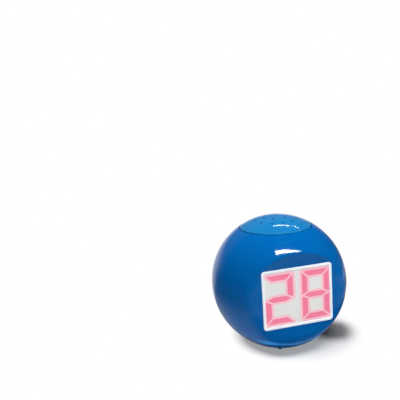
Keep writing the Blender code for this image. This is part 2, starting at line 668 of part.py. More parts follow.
# The seven segments of a digit, mitred where they meet, each grown by a margin
def segment_outlines(middle, margin):
    half_w, half_h = DIGIT_WIDTH / 2, DIGIT_HEIGHT / 2
    corner_slope = hypot(SEGMENT_SIDE, SEGMENT_LEVEL)
    middle_slope = hypot(SEGMENT_SIDE, SEGMENT_LEVEL / 2)
    at_corner = (SEGMENT_LEVEL / corner_slope, SEGMENT_SIDE / corner_slope)
    at_middle = (SEGMENT_LEVEL / 2 / middle_slope, -SEGMENT_SIDE / middle_slope)
    back_off = margin - SEGMENT_MITRE / 2

    def shaped(limits, low, high):
        outline = [(low[0] - margin, low[1] - margin), (high[0] + margin, low[1] - margin),
                   (high[0] + margin, high[1] + margin), (low[0] - margin, high[1] + margin)]
        for point, outward in limits:
            moved = (point[0] + back_off * outward[0], point[1] + back_off * outward[1])
            outline = trim(outline, moved, outward)
        return outline

    def flipped(outline, sx, sz):
        return [(sx * x, sz * z) for x, z in outline]

    level = shaped([((-half_w, half_h), (-at_corner[0], -at_corner[1])),
                    ((half_w, half_h), (at_corner[0], -at_corner[1]))],
                   (-half_w, half_h - SEGMENT_LEVEL), (half_w, half_h))
    upright = shaped([((-half_w, half_h), at_corner), ((-half_w, 0), at_middle)],
                     (-half_w, 0), (-half_w + SEGMENT_SIDE, half_h))
    bar = shaped([((-half_w, 0), (-at_middle[0], -at_middle[1])),
                  ((-half_w, 0), (-at_middle[0], at_middle[1])),
                  ((half_w, 0), (at_middle[0], -at_middle[1])), ((half_w, 0), at_middle)],
                 (-half_w, -SEGMENT_LEVEL / 2), (half_w, SEGMENT_LEVEL / 2))
    outlines = [level, flipped(upright, -1, 1), flipped(upright, -1, -1), flipped(level, 1, -1),
                flipped(upright, 1, -1), upright, bar]
    return [[(x + middle, z) for x, z in outline] for outline in outlines]


def make_display():
    edge = rounded_rectangle(WINDOW_WIDTH, WINDOW_HEIGHT, WINDOW_CORNER)
    window = plate("display_window", [edge], WINDOW_THICKNESS,
                   (0, -(window_front + window_back) / 2, 0), TURN_FRONT)
    finish(round_edges(window, GAP), WHITE, 0.25)

    stack_edge = rounded_rectangle(stack_width, stack_height, WINDOW_CORNER / 2, steps=2)
    openings = []
    for side in (-1, 1):
        openings += segment_outlines(side * DIGIT_SPACING / 2, GAP)
    mask = plate("segment_mask", [stack_edge] + openings, MASK_THICKNESS,
                 (0, -(mask_front + mask_back) / 2, 0), TURN_FRONT)
    finish(mask, GREY, 0.5)
    reflector = plate("reflector_box", [stack_edge] + openings, REFLECTOR_DEPTH,
                      (0, -(reflector_front + reflector_back) / 2, 0), TURN_FRONT)
    finish(reflector, WHITE, 0.6)

    guide_width = (stack_width - GAP) / 2
    for side, name in ((-1, "light_guide_left"), (1, "light_guide_right")):
        middle = side * (guide_width + GAP) / 2
        edge = rounded_rectangle(guide_width, stack_height, WINDOW_CORNER / 2, (middle, 0), 2)
        guide = plate(name, [edge], GUIDE_THICKNESS, (0, -guide_back - GUIDE_THICKNESS / 2, 0), TURN_FRONT)
        height = guide_front - guide_back - GUIDE_THICKNESS / 2
        for number, outline in enumerate(segment_outlines(side * DIGIT_SPACING / 2, 0)):
            raised = plate("%s_segment_%d" % (name, number), [outline], height,
                           (0, -guide_front + height / 2, 0), TURN_FRONT, cutter=True)
            combine(guide, raised, 'UNION')
        finish(guide, MILK, 0.4)


def make_led_board():
    half_x = WINDOW_WIDTH / 2 - LED_BOARD_INSET
    half_z = post_z + POST_RADIUS
    board = boxes("led_board", [((-half_x, -led_board_front, -half_z),
                                 (half_x, -led_board_back, half_z), 0)])
    half = LED_SIZE / 2
    lamps = []
    for side in (-1, 1):
        for outline in segment_outlines(side * DIGIT_SPACING / 2, 0):
            x = sum(point[0] for point in outline) / len(outline)
            z = sum(point[1] for point in outline) / len(outline)
            lamps.append(((x - half, -led_board_front - LED_HEIGHT, z - half),
                          (x + half, -led_board_front + EMBED, z + half), 0))
    combine(board, boxes("lamps", lamps, cutter=True), 'UNION')
    holes = cylinders("led_board_holes", [((x, -led_board_front - WALL, z), (x, -led_board_back + WALL, z))
                                          for x, z in post_spots], BOARD_SCREW_RADIUS + GAP, SMALL_STEPS,
                      cutter=True)
    combine(board, holes)
    return finish(board, BOARD_GREEN, 0.45)


# A screw with a pan head: its own +Z points out of the head, and its origin is under the head
def make_screw(name, place, turn, radius, length, head_radius, head):
    profile = [(0, head), (head_radius * 0.6, head), (head_radius, head * 0.55), (head_radius, 0),
               (radius, 0), (radius, radius - length), (0, -length)]
    return finish(turned(name, profile, TINY_STEPS, place, turn), STEEL, 0.3, 1.0)


def make_screws():
    for number, (x, z) in enumerate(case_screw_spots):
        make_screw("case_screw_%d" % (number + 1), (x, WELL_FLOOR + GAP, z), TURN_BACK, CASE_SCREW_RADIUS,
                   WELL_FLOOR + CASE_SCREW_REACH, CASE_SCREW_HEAD_RADIUS, CASE_SCREW_HEAD)
    for number, (x, z) in enumerate(post_spots):
        make_screw("board_screw_%d" % (number + 1), (x, -led_board_back + GAP, z), TURN_BACK,
                   BOARD_SCREW_RADIUS, BOARD_SCREW_LENGTH, BOARD_SCREW_HEAD_RADIUS, BOARD_SCREW_HEAD)


def make_top_button():
    dome = BALL_RADIUS + DISC_RAISE
    edge = CAP_RADIUS - CAP_SEAM
    under = BALL_RADIUS - CAP_WALL
    rib = 2 * SPRING_WIRE
    profile = arc(dome, 0, asin(DISC_RADIUS / dome), 5)
    profile += arc(BALL_RADIUS, asin((DISC_RADIUS + DISC_RAISE) / BALL_RADIUS),
                   asin(edge / BALL_RADIUS), 3)
    profile += [(CAP_RADIUS, rise(BALL_RADIUS, CAP_RADIUS) - CAP_SEAM), (CAP_RADIUS, flange_top),
                (flange_radius, flange_top), (flange_radius, flange_bottom), (CAP_RADIUS, flange_bottom),
                (CAP_RADIUS, skirt_bottom), (skirt_inside, skirt_bottom),
                (skirt_inside, rise(under, skirt_inside)),
                (SPRING_RADIUS + rib, rise(under, SPRING_RADIUS + rib)),
                (SPRING_RADIUS + rib, spring_top), (SPRING_RADIUS - rib, spring_top),
                (SPRING_RADIUS - rib, rise(under, SPRING_RADIUS - rib))]
    profile += arc(under, asin((SPRING_RADIUS - rib) / under), 0, 4)[1:]
    cap = turned("top_button", profile, ROUND_STEPS)
    stem = cylinders("switch_stem", [((*switch_spot, switch_top + CAP_TRAVEL + GAP),
                                      (*switch_spot, rise(under, SWITCH_RADIUS) + CAP_WALL / 2))],
                     STEM_RADIUS, SMALL_STEPS, cutter=True)
    combine(cap, stem, 'UNION')
    rings = [(HOLE_RING_RADIUS, SOUND_HOLES), (INNER_RING_RADIUS, INNER_HOLES), (0, 1)]
    ends = []
    for ring, count in rings:
        for number in range(count):
            x, y = polar(ring, 2 * pi * number / count)
            ends.append(((x, y, rise(under, ring) - CAP_WALL), (x, y, dome + CAP_WALL)))
    combine(cap, cylinders("sound_holes", ends, SOUND_HOLE_RADIUS, 6, cutter=True))
    return finish(cap, BLUE, 0.15)


# The cap's spring seat is a ring under its dome
spring_top = rise(BALL_RADIUS - CAP_WALL, SPRING_RADIUS + 2 * SPRING_WIRE) - 3 * SPRING_WIRE


def make_collar():
    inside = SPEAKER_RADIUS - SPEAKER_RIM
    profile = [(collar_inside, collar_top), (collar_outside, collar_top),
               (collar_outside, collar_floor_top), (collar_reach, collar_floor_top),
               (collar_reach, collar_floor_bottom), (inside, collar_floor_bottom),
               (inside, collar_floor_top), (collar_inside, collar_floor_top)]
    collar = turned("button_collar", profile, ROUND_STEPS, closed=True)
    # The collar's foot is trimmed where it passes under the brow
    combine(collar, keypad_space("collar_trim", WALL + GAP))
    return finish(collar, WHITE, 0.5)


# A coil between two levels, its wire's centre line read from a helix
def make_coil(name, radius, wire, low, high, turns, per_turn, place, turn, cutter=False):
    count = turns * per_turn + 1
    curve = bpy.data.curves.new(name, 'CURVE')
    curve.dimensions = '3D'
    curve.bevel_depth = wire
    curve.bevel_resolution = 1
    curve.use_fill_caps = True
    spline = curve.splines.new('POLY')
    spline.points.add(count - 1)
    for i, point in enumerate(spline.points):
        a = 2 * pi * i / per_turn
        height = low + wire + (high - low - 2 * wire) * i / (count - 1)
        point.co = (radius * cos(a), radius * sin(a), height, 1)
    coil = bpy.data.objects.new(name + "_path", curve)
    return solid_from_curve(name, coil, place, turn, cutter)


def make_button_works():
    coil = make_coil("button_spring", SPRING_RADIUS, SPRING_WIRE, spring_bottom, spring_top - GAP,
                     SPRING_TURNS, 12, (0, 0, 0), TURN_UP)
    finish(coil, STEEL, 0.3, 1.0)
    x, y = switch_spot
    half = SWITCH_SIZE / 2
    bottom = collar_floor_top + GAP
    body_top = bottom + SWITCH_BODY
    switch = boxes("top_switch", [((x - half, y - half, bottom), (x + half, y + half, body_top), 0)])
    plunger = cylinders("switch_plunger", [((x, y, bottom + SWITCH_BODY / 2), (x, y, switch_top))],
                        SWITCH_PLUNGER_RADIUS, SMALL_STEPS, cutter=True)
    combine(switch, plunger, 'UNION')
    finish(switch, BLACK, 0.4)


def make_speaker():
    top = collar_floor_bottom - GAP
    sheet = SPEAKER_SHEET
    back = top - SPEAKER_DEPTH
    mouth = SPEAKER_RADIUS - SPEAKER_RIM
    frame = [(mouth, top), (SPEAKER_RADIUS, top), (SPEAKER_RADIUS, top - sheet),
             (mouth + sheet, top - sheet), (SPEAKER_BACK_RADIUS, back), (MAGNET_RADIUS / 3, back),
             (MAGNET_RADIUS / 3, back + sheet), (SPEAKER_BACK_RADIUS - sheet, back + sheet)]
    finish(turned("speaker_frame", frame, 20, closed=True), STEEL, 0.35, 1.0)
    neck = (SPEAKER_BACK_RADIUS - sheet) * 0.6
    slope = (mouth - SPEAKER_BACK_RADIUS + sheet) / (SPEAKER_DEPTH - sheet)
    edge = mouth - slope * sheet - RUN_GAP
    cone = [(0, back + SPEAKER_DEPTH * 0.55), (neck, back + SPEAKER_DEPTH * 0.45),
            (edge - sheet, top - sheet / 2), (edge, top - sheet / 2), (edge, top - sheet),
            (edge - sheet, top - sheet), (neck, back + sheet + GAP), (0, back + sheet + GAP)]
    finish(turned("speaker_cone", cone, 20), PAPER, 0.8)
    magnet_top = back - GAP
    magnet = [(0, magnet_top), (MAGNET_RADIUS, magnet_top), (MAGNET_RADIUS, magnet_top - MAGNET_HEIGHT),
              (0, magnet_top - MAGNET_HEIGHT)]
    finish(turned("speaker_magnet", magnet, 20), BLACK, 0.5)


# Outline of the battery door: a rounded rectangle with an ear for its screw
def door_outline(margin):
    corner = DOOR_CORNER + margin
    ear = DOOR_EAR_RADIUS + margin
    low, high, half = door_low_x - margin, door_high_x + margin, door_half_y + margin
    points = rounded_rectangle(high - low, 2 * half, corner, ((low + high) / 2, 0), 3)
    tip = [(door_ear_x + ear * cos(a), ear * sin(a)) for a in [pi * (i / 6 - 0.5) for i in range(7)]]
    return points + [(high, -ear)] + tip + [(high, ear)]


def make_base_tray():
    flange = TRAY_RADIUS + TRAY_FLANGE
    flange_low = -rise(seat_radius, flange)
    flange_high = flange_low + FLANGE_THICKNESS
    rim_inside = TRAY_RADIUS - TRAY_RIM_WALL
    under = BALL_RADIUS - WALL
    floor = base_flat_z + WALL
    profile = [(0, floor)]
    profile += [(x, -z) for x, z in arc(under, asin(rise(under, floor) / under),
                                        asin(rim_inside / under), 3)]
    profile += [(rim_inside, flange_high), (flange, flange_high), (flange, flange_low),
                (TRAY_RADIUS, flange_low)]
    profile += [(x, -z) for x, z in arc(BALL_RADIUS, asin(TRAY_RADIUS / BALL_RADIUS),
                                        asin(BASE_FLAT_RADIUS / BALL_RADIUS), 4)]
    profile += [(0, base_flat_z)]
    tray = turned("base_tray", profile, ROUND_STEPS)
    core = base_form("tray_core", WALL - EMBED, bay_roof + 2 * BAY_WALL)
    bay = boxes("bay_walls", [((bay_low_x - BAY_WALL, -bay_half_y - BAY_WALL, -BALL_RADIUS),
                               (bay_high_x + BAY_WALL, bay_half_y + BAY_WALL, bay_roof + BAY_WALL), 0)],
                cutter=True)
    boss = cylinders("door_screw_boss", [((door_ear_x, 0, -BALL_RADIUS),
                                          (door_ear_x, 0, door_top + 2 * DOOR_SCREW_LENGTH))],
                     DOOR_EAR_RADIUS + BAY_LEDGE, SMALL_STEPS, cutter=True)
    # Each tongue of the door hooks into a pocket in the low end of the bay
    pockets = boxes("tongue_pockets", [((notch_start - BAY_LEDGE, y - notch_half - BAY_LEDGE, -BALL_RADIUS),
                                        (bay_low_x - GAP, y + notch_half + BAY_LEDGE,
                                         notch_top + BAY_LEDGE), 0)
                                       for y in (-TONGUE_Y, TONGUE_Y)], cutter=True)
    for inside in (bay, pockets, boss):
        combine(inside, core, 'INTERSECT')
        combine(tray, inside, 'UNION')
    space = boxes("bay_space", [((bay_low_x, -bay_half_y, -BALL_RADIUS),
                                 (bay_high_x, bay_half_y, bay_roof), 0)], cutter=True)
    door_space = plate("door_space", [door_outline(GAP)], DOOR_BLANK, door_blank_place, cutter=True)
    combine(door_space, base_form("door_ledge", DOOR_THICKNESS + GAP, bay_roof))
    notches = boxes("tongue_notches", [((notch_start, y - notch_half, door_top),
                                        (bay_low_x + GAP, y + notch_half, notch_top), 0)
                                       for y in (-TONGUE_Y, TONGUE_Y)], cutter=True)
    recesses = cylinders("foot_recesses", [((x, y, -BALL_RADIUS), (x, y, base_flat_z + FOOT_RECESS))
                                           for x, y in foot_spots()], FOOT_RADIUS + GAP, SMALL_STEPS,
                         cutter=True)
    pilot = cylinders("door_screw_hole", [((door_ear_x, 0, -BALL_RADIUS),
                                           (door_ear_x, 0, door_top + DOOR_SCREW_LENGTH + GAP))],
                      DOOR_SCREW_RADIUS + RUN_GAP, SMALL_STEPS, cutter=True)
    for hollow in (space, door_space, notches, recesses, pilot, keypad_space("tray_trim", WALL + GAP)):
        combine(tray, hollow)
    return finish(tray, BLUE, 0.2)


def foot_spots():
    return [(sx * FOOT_X, sy * FOOT_Y) for sy in (-1, 1) for sx in (-1, 1)]


def make_feet():
    profile = [(0, FOOT_PROUD + FOOT_RECESS - GAP), (FOOT_RADIUS, FOOT_PROUD + FOOT_RECESS - GAP),
               (FOOT_RADIUS, GAP), (FOOT_RADIUS - GAP, 0), (0, 0)]
    for number, (x, y) in enumerate(foot_spots()):
        foot = turned("foot_%d" % (number + 1), profile, SMALL_STEPS, (x, y, base_flat_z - FOOT_PROUD))
        finish(foot, RUBBER, 0.9)


# The door turns on its lower edge at the low end of X, where its two tongues hook over the tray
def make_battery_door():
    hinge = Vector((door_low_x, 0, base_flat_z))
    door = plate("battery_door", [door_outline(0)], DOOR_BLANK, door_blank_place)
    combine(door, base_form("door_outside", 0, bay_roof), 'INTERSECT')
    combine(door, base_form("door_inside", DOOR_THICKNESS, bay_roof + WALL))
    half = TONGUE_WIDTH / 2
    stems = boxes("tongue_stems", [((door_low_x + GAP, y - half, door_top - EMBED),
                                    (door_low_x + 2 * TONGUE_REACH, y + half, tongue_high), 0)
                                   for y in (-TONGUE_Y, TONGUE_Y)], cutter=True)
    tongues = boxes("door_tongues", [((door_low_x - TONGUE_REACH, y - half + EMBED / 2, tongue_low),
                                      (door_low_x + TONGUE_REACH, y + half - EMBED / 2,
                                       tongue_high - EMBED / 2), 0)
                                     for y in (-TONGUE_Y, TONGUE_Y)], cutter=True)
    combine(door, stems, 'UNION')
    combine(door, tongues, 'UNION')
    surface = -rise(BALL_RADIUS, max(door_ear_x, BASE_FLAT_RADIUS))
    below = (door_ear_x, 0, -BALL_RADIUS)
    head_top = (door_ear_x, 0, surface + DOOR_SCREW_HEAD + GAP)
    head_hole = cylinders("door_head_hole", [(below, head_top)], DOOR_SCREW_HEAD_RADIUS + GAP,
                          SMALL_STEPS, cutter=True)
    shank_hole = cylinders("door_shank_hole", [(below, (door_ear_x, 0, door_top + WALL))],
                           DOOR_SCREW_RADIUS + GAP, SMALL_STEPS, cutter=True)
    combine(door, head_hole)
    combine(door, shank_hole)
    move_origin(door, hinge)
    finish(door, BLUE, 0.2)
    make_screw("door_screw", (door_ear_x, 0, surface + DOOR_SCREW_HEAD), TURN_DOWN, DOOR_SCREW_RADIUS,
               DOOR_SCREW_LENGTH, DOOR_SCREW_HEAD_RADIUS, DOOR_SCREW_HEAD)


# Put an object's origin on its joint's axis, leaving its mesh where it is
def move_origin(made, origin):
    shift = Vector(origin) - made.location
    made.data.transform(Matrix.Translation(-shift))
    made.location = origin


def make_battery_works():
    for number in range(CELLS):
        y = (number - (CELLS - 1) / 2) * CELL_PITCH
        flip = number % 2
        body = CELL_LENGTH - CELL_NUB
        profile = [(0, CELL_LENGTH), (CELL_NUB_RADIUS, CELL_LENGTH), (CELL_NUB_RADIUS, body),
                   (CELL_RADIUS, body), (CELL_RADIUS, 0), (0, 0)]
        start = cell_start + CELL_LENGTH if flip else cell_start
        cell = turned("battery_%d" % (number + 1), profile, 16, (start, y, cell_height),
                      (0, -pi / 2 if flip else pi / 2, 0))
        finish(cell, CELL_COLOUR, 0.3, 0.6)
    cell_end = cell_start + CELL_LENGTH
    half = CONTACT_WIDTH / 2
    # name, which end of the bay, first and last cell joined, cell that meets a spring
    for name, at_low_end, first, last, sprung in (("contact_bridge_low", True, 0, 1, 0),
                                                  ("contact_low", True, 2, 2, 2),
                                                  ("contact_high", False, 0, 0, None),
                                                  ("contact_bridge_high", False, 1, 2, 1)):
        wall = bay_low_x + GAP if at_low_end else bay_high_x - GAP
        inward = 1 if at_low_end else -1
        face = cell_start - GAP if at_low_end else cell_end + GAP
        rows = [(row - (CELLS - 1) / 2) * CELL_PITCH for row in (first, last)]
        x_low, x_high = sorted((wall, wall + inward * CONTACT_SHEET))
        sheet = boxes(name, [((x_low, rows[0] - half, cell_height - CONTACT_HEIGHT / 2 + RUN_GAP),
                              (x_high, rows[1] + half, cell_height + CONTACT_HEIGHT / 2 + RUN_GAP), 0)])
        for row in range(first, last + 1):
            y = (row - (CELLS - 1) / 2) * CELL_PITCH
            if row == sprung:
                coil = make_coil("%s_coil" % name, CONTACT_SPRING_RADIUS, CONTACT_WIRE, 0,
                                 abs(face - wall), CONTACT_TURNS, 8, (wall, y, cell_height),
                                 (0, inward * pi / 2, 0), cutter=True)
                combine(sheet, coil, 'UNION')
            else:
                root = (wall + inward * CONTACT_SHEET / 2, y, cell_height)
                bump = cylinders("%s_bump_%d" % (name, row), [(root, (face, y, cell_height))],
                                 CELL_NUB_RADIUS, TINY_STEPS, cutter=True)
                combine(sheet, bump, 'UNION')
        finish(sheet, STEEL, 0.25, 1.0)


pole_holes = make_pole_holes()
make_front_shell()
make_rear_shell()
make_keys()
make_keypad_mat()
make_main_board()
make_display()
make_led_board()
make_screws()
make_top_button()
make_collar()
make_button_works()
make_speaker()
make_base_tray()
make_feet()
make_battery_door()
make_battery_works()
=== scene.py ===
# Looks for an electronic bingo game: a glossy ball with a two-digit display, a push cap and a keypad.
from math import asin, cos, hypot, pi, radians, sin, sqrt, tan
import bmesh
import bpy
import numpy as np
from mathutils import Matrix, Vector


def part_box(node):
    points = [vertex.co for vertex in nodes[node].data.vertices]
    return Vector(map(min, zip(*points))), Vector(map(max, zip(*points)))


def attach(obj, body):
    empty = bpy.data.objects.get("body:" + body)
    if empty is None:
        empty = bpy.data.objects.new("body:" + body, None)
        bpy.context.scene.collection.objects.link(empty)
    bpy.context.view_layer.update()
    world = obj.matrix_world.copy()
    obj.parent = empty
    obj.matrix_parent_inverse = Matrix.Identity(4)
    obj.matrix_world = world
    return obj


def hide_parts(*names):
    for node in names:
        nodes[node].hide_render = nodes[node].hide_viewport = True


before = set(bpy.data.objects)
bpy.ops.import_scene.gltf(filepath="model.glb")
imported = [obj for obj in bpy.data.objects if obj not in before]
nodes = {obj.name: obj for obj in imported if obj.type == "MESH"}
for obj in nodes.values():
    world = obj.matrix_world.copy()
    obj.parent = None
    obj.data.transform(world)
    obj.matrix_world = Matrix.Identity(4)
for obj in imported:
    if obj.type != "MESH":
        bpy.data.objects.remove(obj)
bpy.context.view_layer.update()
print("frame loaded:", len(nodes), "nodes")

# The ball, in metres, as the CAD has it
ball = {
    "radius": 0.065, "wall": 0.0024, "frontFlat": 0.0475, "frontRound": 0.0045,
    "backFlat": 0.0377, "browHeight": 0.0375, "browArch": 0.140, "browSlope": radians(45),
    "windowFront": 0.0479, "steps": 216, "arcSteps": 96, "innerSteps": 40, "clear": 1.1,
}
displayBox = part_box("display_window")
ballCentre = Vector((0, displayBox[0][1] + ball["windowFront"], (displayBox[0][2] + displayBox[1][2]) / 2))

turnUp = (0, 0, 0)
turnFront = (pi / 2, 0, 0)
turnBack = (-pi / 2, 0, 0)


# Points of an arc, angles from the profile's +Z towards its +X
def arc(radius, start, end, count, middle=(0.0, 0.0)):
    angles = [start + (end - start) * i / (count - 1) for i in range(count)]
    return [(middle[0] + radius * sin(a), middle[1] + radius * cos(a)) for a in angles]


def rise(sphere, distance):
    return sqrt(sphere ** 2 - distance ** 2)


def show(obj):
    bpy.context.scene.collection.objects.link(obj)
    return obj


def place(obj, spot=(0, 0, 0), turn=turnUp):
    obj.location = ballCentre + Vector(spot)
    obj.rotation_euler = turn
    return show(obj)


def meshFrom(name, bm):
    mesh = bpy.data.meshes.new(name)
    bm.to_mesh(mesh)
    bm.free()
    return mesh


# A profile turned about its own Z, with both ends on the axis
def lathe(name, profile, steps, spot=(0, 0, 0), turn=turnUp):
    mesh = bpy.data.meshes.new(name)
    mesh.from_pydata([(x, 0, z) for x, z in profile], [(i, i + 1) for i in range(len(profile) - 1)], [])
    obj = place(bpy.data.objects.new(name, mesh), spot, turn)
    screw = obj.modifiers.new("turn", 'SCREW')
    screw.steps = steps
    screw.render_steps = steps
    screw.use_merge_vertices = True
    screw.merge_threshold = 0.000005
    return obj


def outlinePlate(name, outlines, thickness, spot, turn, bevel=0.0):
    curve = bpy.data.curves.new(name, 'CURVE')
    curve.dimensions = '2D'
    curve.fill_mode = 'BOTH'
    curve.extrude = thickness / 2 - bevel
    curve.bevel_depth = bevel
    curve.bevel_resolution = 2
    curve.offset = -bevel
    for outline in outlines:
        spline = curve.splines.new('POLY')
        spline.points.add(len(outline) - 1)
        for point, (x, y) in zip(spline.points, outline):
            point.co = (x, y, 0, 1)
        spline.use_cyclic_u = True
    return place(bpy.data.objects.new(name, curve), spot, turn)


def rods(name, ends, radius, steps):
    bm = bmesh.new()
    for start, end in ends:
        a, b = Vector(start), Vector(end)
        aim = Vector((0, 0, 1)).rotation_difference(b - a).to_matrix().to_4x4()
        bmesh.ops.create_cone(bm, cap_ends=True, segments=steps, radius1=radius, radius2=radius,
                              depth=(b - a).length, matrix=Matrix.Translation((a + b) / 2) @ aim)
    return place(bpy.data.objects.new(name, meshFrom(name, bm)))


# The piece as its modifiers leave it, with its place in its mesh
def applied(obj):
    bpy.context.view_layer.update()
    graph = bpy.context.evaluated_depsgraph_get()
    mesh = bpy.data.meshes.new_from_object(obj.evaluated_get(graph))
    mesh.transform(obj.matrix_world)
    name = obj.name
    bpy.data.objects.remove(obj, do_unlink=True)
    return show(bpy.data.objects.new(name, mesh))


def settle(obj, weld=0.000002):
    made = applied(obj)
    bm = bmesh.new()
    bm.from_mesh(made.data)
    bmesh.ops.remove_doubles(bm, verts=bm.verts, dist=weld)
    bmesh.ops.dissolve_degenerate(bm, edges=bm.edges, dist=weld)
    bmesh.ops.recalc_face_normals(bm, faces=bm.faces)
    bm.to_mesh(made.data)
    bm.free()
    return made


def carve(obj, cutters, operation='DIFFERENCE'):
    for cutter in cutters:
        step = obj.modifiers.new(cutter.name, 'BOOLEAN')
        step.operation = operation
        step.object = cutter
        step.solver = 'EXACT'
    made = settle(obj)
    for cutter in cutters:
        bpy.data.objects.remove(cutter, do_unlink=True)
    return made


def smoothByAngle(obj, angle=35):
    obj.data.shade_smooth()
    obj.data.set_sharp_from_angle(angle=radians(angle))
    return obj


def vertexPlaces(mesh):
    where = np.empty(len(mesh.vertices) * 3)
    mesh.vertices.foreach_get("co", where)
    return where.reshape(-1, 3)


# Snaps a cut smooth shape back to the profile it was turned from, and gives it that profile's normals
def trueNormals(obj, profile, axis, tolerance=0.00006):
    mesh = obj.data
    points = np.array(profile)
    centre = np.array(ballCentre)
    where = vertexPlaces(mesh) - centre
    count = len(where)
    axis = np.array(axis, float)
    height = where @ axis
    across = where - np.outer(height, axis)
    reach = np.linalg.norm(across, axis=1)
    outward = across / np.maximum(reach, 1e-9)[:, None]
    start = points[:-1]
    run = points[1:] - start
    side = np.stack([run[:, 1], -run[:, 0]], 1)
    side /= np.linalg.norm(side, axis=1)[:, None]
    cornerSide = np.zeros_like(points)
    cornerSide[:-1] += side
    cornerSide[1:] += side
    cornerSide /= np.linalg.norm(cornerSide, axis=1)[:, None]
    spot = np.stack([reach, height], 1)
    best = np.full(count, 1e9)
    normal = np.zeros((count, 2))
    nearest = spot.copy()
    for i in range(len(run)):
        t = np.clip(((spot - start[i]) @ run[i]) / max((run[i] ** 2).sum(), 1e-18), 0, 1)
        foot = start[i] + t[:, None] * run[i]
        gap = np.linalg.norm(spot - foot, axis=1)
        closer = gap < best
        best[closer] = gap[closer]
        nearest[closer] = foot[closer]
        blended = (1 - t)[:, None] * cornerSide[i] + t[:, None] * cornerSide[i + 1]
        normal[closer] = blended[closer]
    onProfile = best < tolerance
    where[onProfile] = (outward * nearest[:, :1] + np.outer(nearest[:, 1], axis))[onProfile]
    mesh.vertices.foreach_set("co", (where + centre).ravel())
    wanted = outward * normal[:, :1] + np.outer(normal[:, 1], axis)
    wanted /= np.maximum(np.linalg.norm(wanted, axis=1), 1e-9)[:, None]
    bendNormals(obj, onProfile, wanted)


# Sets the wanted normals where a face lies wholly on the smooth surface
def bendNormals(obj, onSurface, wanted, agreement=0.7):
    mesh = obj.data
    smoothByAngle(obj)
    mesh.update()
    corners = np.empty(len(mesh.loops) * 3)
    mesh.corner_normals.foreach_get("vector", corners)
    corners = corners.reshape(-1, 3)
    for face in mesh.polygons:
        ids = list(face.vertices)
        if onSurface[ids].all() and np.dot(wanted[ids].mean(0), face.normal) > agreement:
            for loop in face.loop_indices:
                corners[loop] = wanted[mesh.loops[loop].vertex_index]
    mesh.normals_split_custom_set([tuple(n) for n in corners])


def dress(obj, body, slot, material, *replaced):
    obj.data.materials.clear()
    obj.data.materials.append(material)
    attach(obj, body)
    if replaced:
        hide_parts(*replaced)


# A number, a colour, a vector or another node's output goes into each input
def fill(tree, made, values):
    for key, value in values.items():
        socket = made.inputs[key]
        if isinstance(value, bpy.types.NodeSocket):
            tree.links.new(value, socket)
        else:
            socket.default_value = (*value, 1) if socket.type == 'RGBA' else value


def node(tree, kind, inputs=None, **settings):
    made = tree.nodes.new(kind)
    for key, value in settings.items():
        setattr(made, key, value)
    fill(tree, made, inputs or {})
    return made


def maths(tree, operation, *values):
    return node(tree, 'ShaderNodeMath', dict(enumerate(values)), operation=operation).outputs[0]


def multiply(tree, first, second):
    return maths(tree, 'MULTIPLY', first, second)


def vectorMaths(tree, operation, *values):
    made = node(tree, 'ShaderNodeVectorMath', dict(enumerate(values)), operation=operation)
    return made.outputs["Vector" if operation in ('NORMALIZE', 'MULTIPLY_ADD') else "Value"]


def axisOf(tree, source, axis):
    return node(tree, 'ShaderNodeSeparateXYZ', {"Vector": source}).outputs[axis]


def mixColour(tree, factor, first, second):
    return node(tree, 'ShaderNodeMix', {0: factor, 6: first, 7: second}, data_type='RGBA').outputs[2]


def spread(tree, source, low, high, first=0.0, last=1.0, easing='LINEAR'):
    limits = {"From Min": low, "From Max": high, "To Min": first, "To Max": last}
    return node(tree, 'ShaderNodeMapRange', {"Value": source, **limits}, interpolation_type=easing).outputs[0]


def ramp(tree, source, low, high, first=0.0, last=1.0):
    return spread(tree, source, low, high, first, last, 'SMOOTHSTEP')


def colourRamp(tree, source, stops, easing='LINEAR'):
    made = node(tree, 'ShaderNodeValToRGB', {"Fac": source})
    made.color_ramp.interpolation = easing
    elements = made.color_ramp.elements
    while len(elements) < len(stops):
        elements.new(0.5)
    for element, (at, colour) in zip(elements, stops):
        element.position = at
        element.color = (*colour, 1)
    return made.outputs["Color"]


def noise(tree, spot, scale, detail, **inputs):
    return node(tree, 'ShaderNodeTexNoise', {"Vector": spot, "Scale": scale, "Detail": detail,
                                             **inputs}).outputs


def surfaceSpot(tree):
    return node(tree, 'ShaderNodeTexCoord').outputs["Object"]


# Shader groups that more than one finish uses
def newGroup(name, inputs, outputs):
    group = bpy.data.node_groups.new(name, 'ShaderNodeTree')
    for way, labels in (('INPUT', inputs), ('OUTPUT', outputs)):
        for label in labels:
            group.interface.new_socket(label, in_out=way, socket_type='NodeSocketFloat')
    return group, group.nodes.new('NodeGroupInput').outputs, group.nodes.new('NodeGroupOutput')


flowScale = 18.0


# Fine moulded grain with faint flow marks: a height and a change of tone
def makeGrainGroup():
    group, start, end = newGroup("mouldedGrain", ["Scale"], ["Height", "Tone"])
    spot = surfaceSpot(group)
    flow = noise(group, spot, flowScale, 2.0)["Fac"]
    height = multiply(group, noise(group, spot, start["Scale"], 3.0)["Fac"], flow)
    fill(group, end, {"Height": height, "Tone": flow})
    return group


handling = {
    "strokeTurns": ((0.3, 0.9, 0.2), (1.2, 0.1, 0.8), (0.7, 1.4, 1.9)), "strokeStretch": (1.0, 14.0, 1.0),
    "strokeScale": 60.0, "strokeBend": 0.4, "strokeWidth": 0.006, "patchScale": 35.0,
    "patchRange": (0.52, 0.68), "warpScale": 9.0, "touchScale": 26.0, "touchRange": (0.5, 0.75),
    "speckScale": 420.0, "speckRange": (0.05, 0.11), "upwardRange": (0.1, 0.9),
}


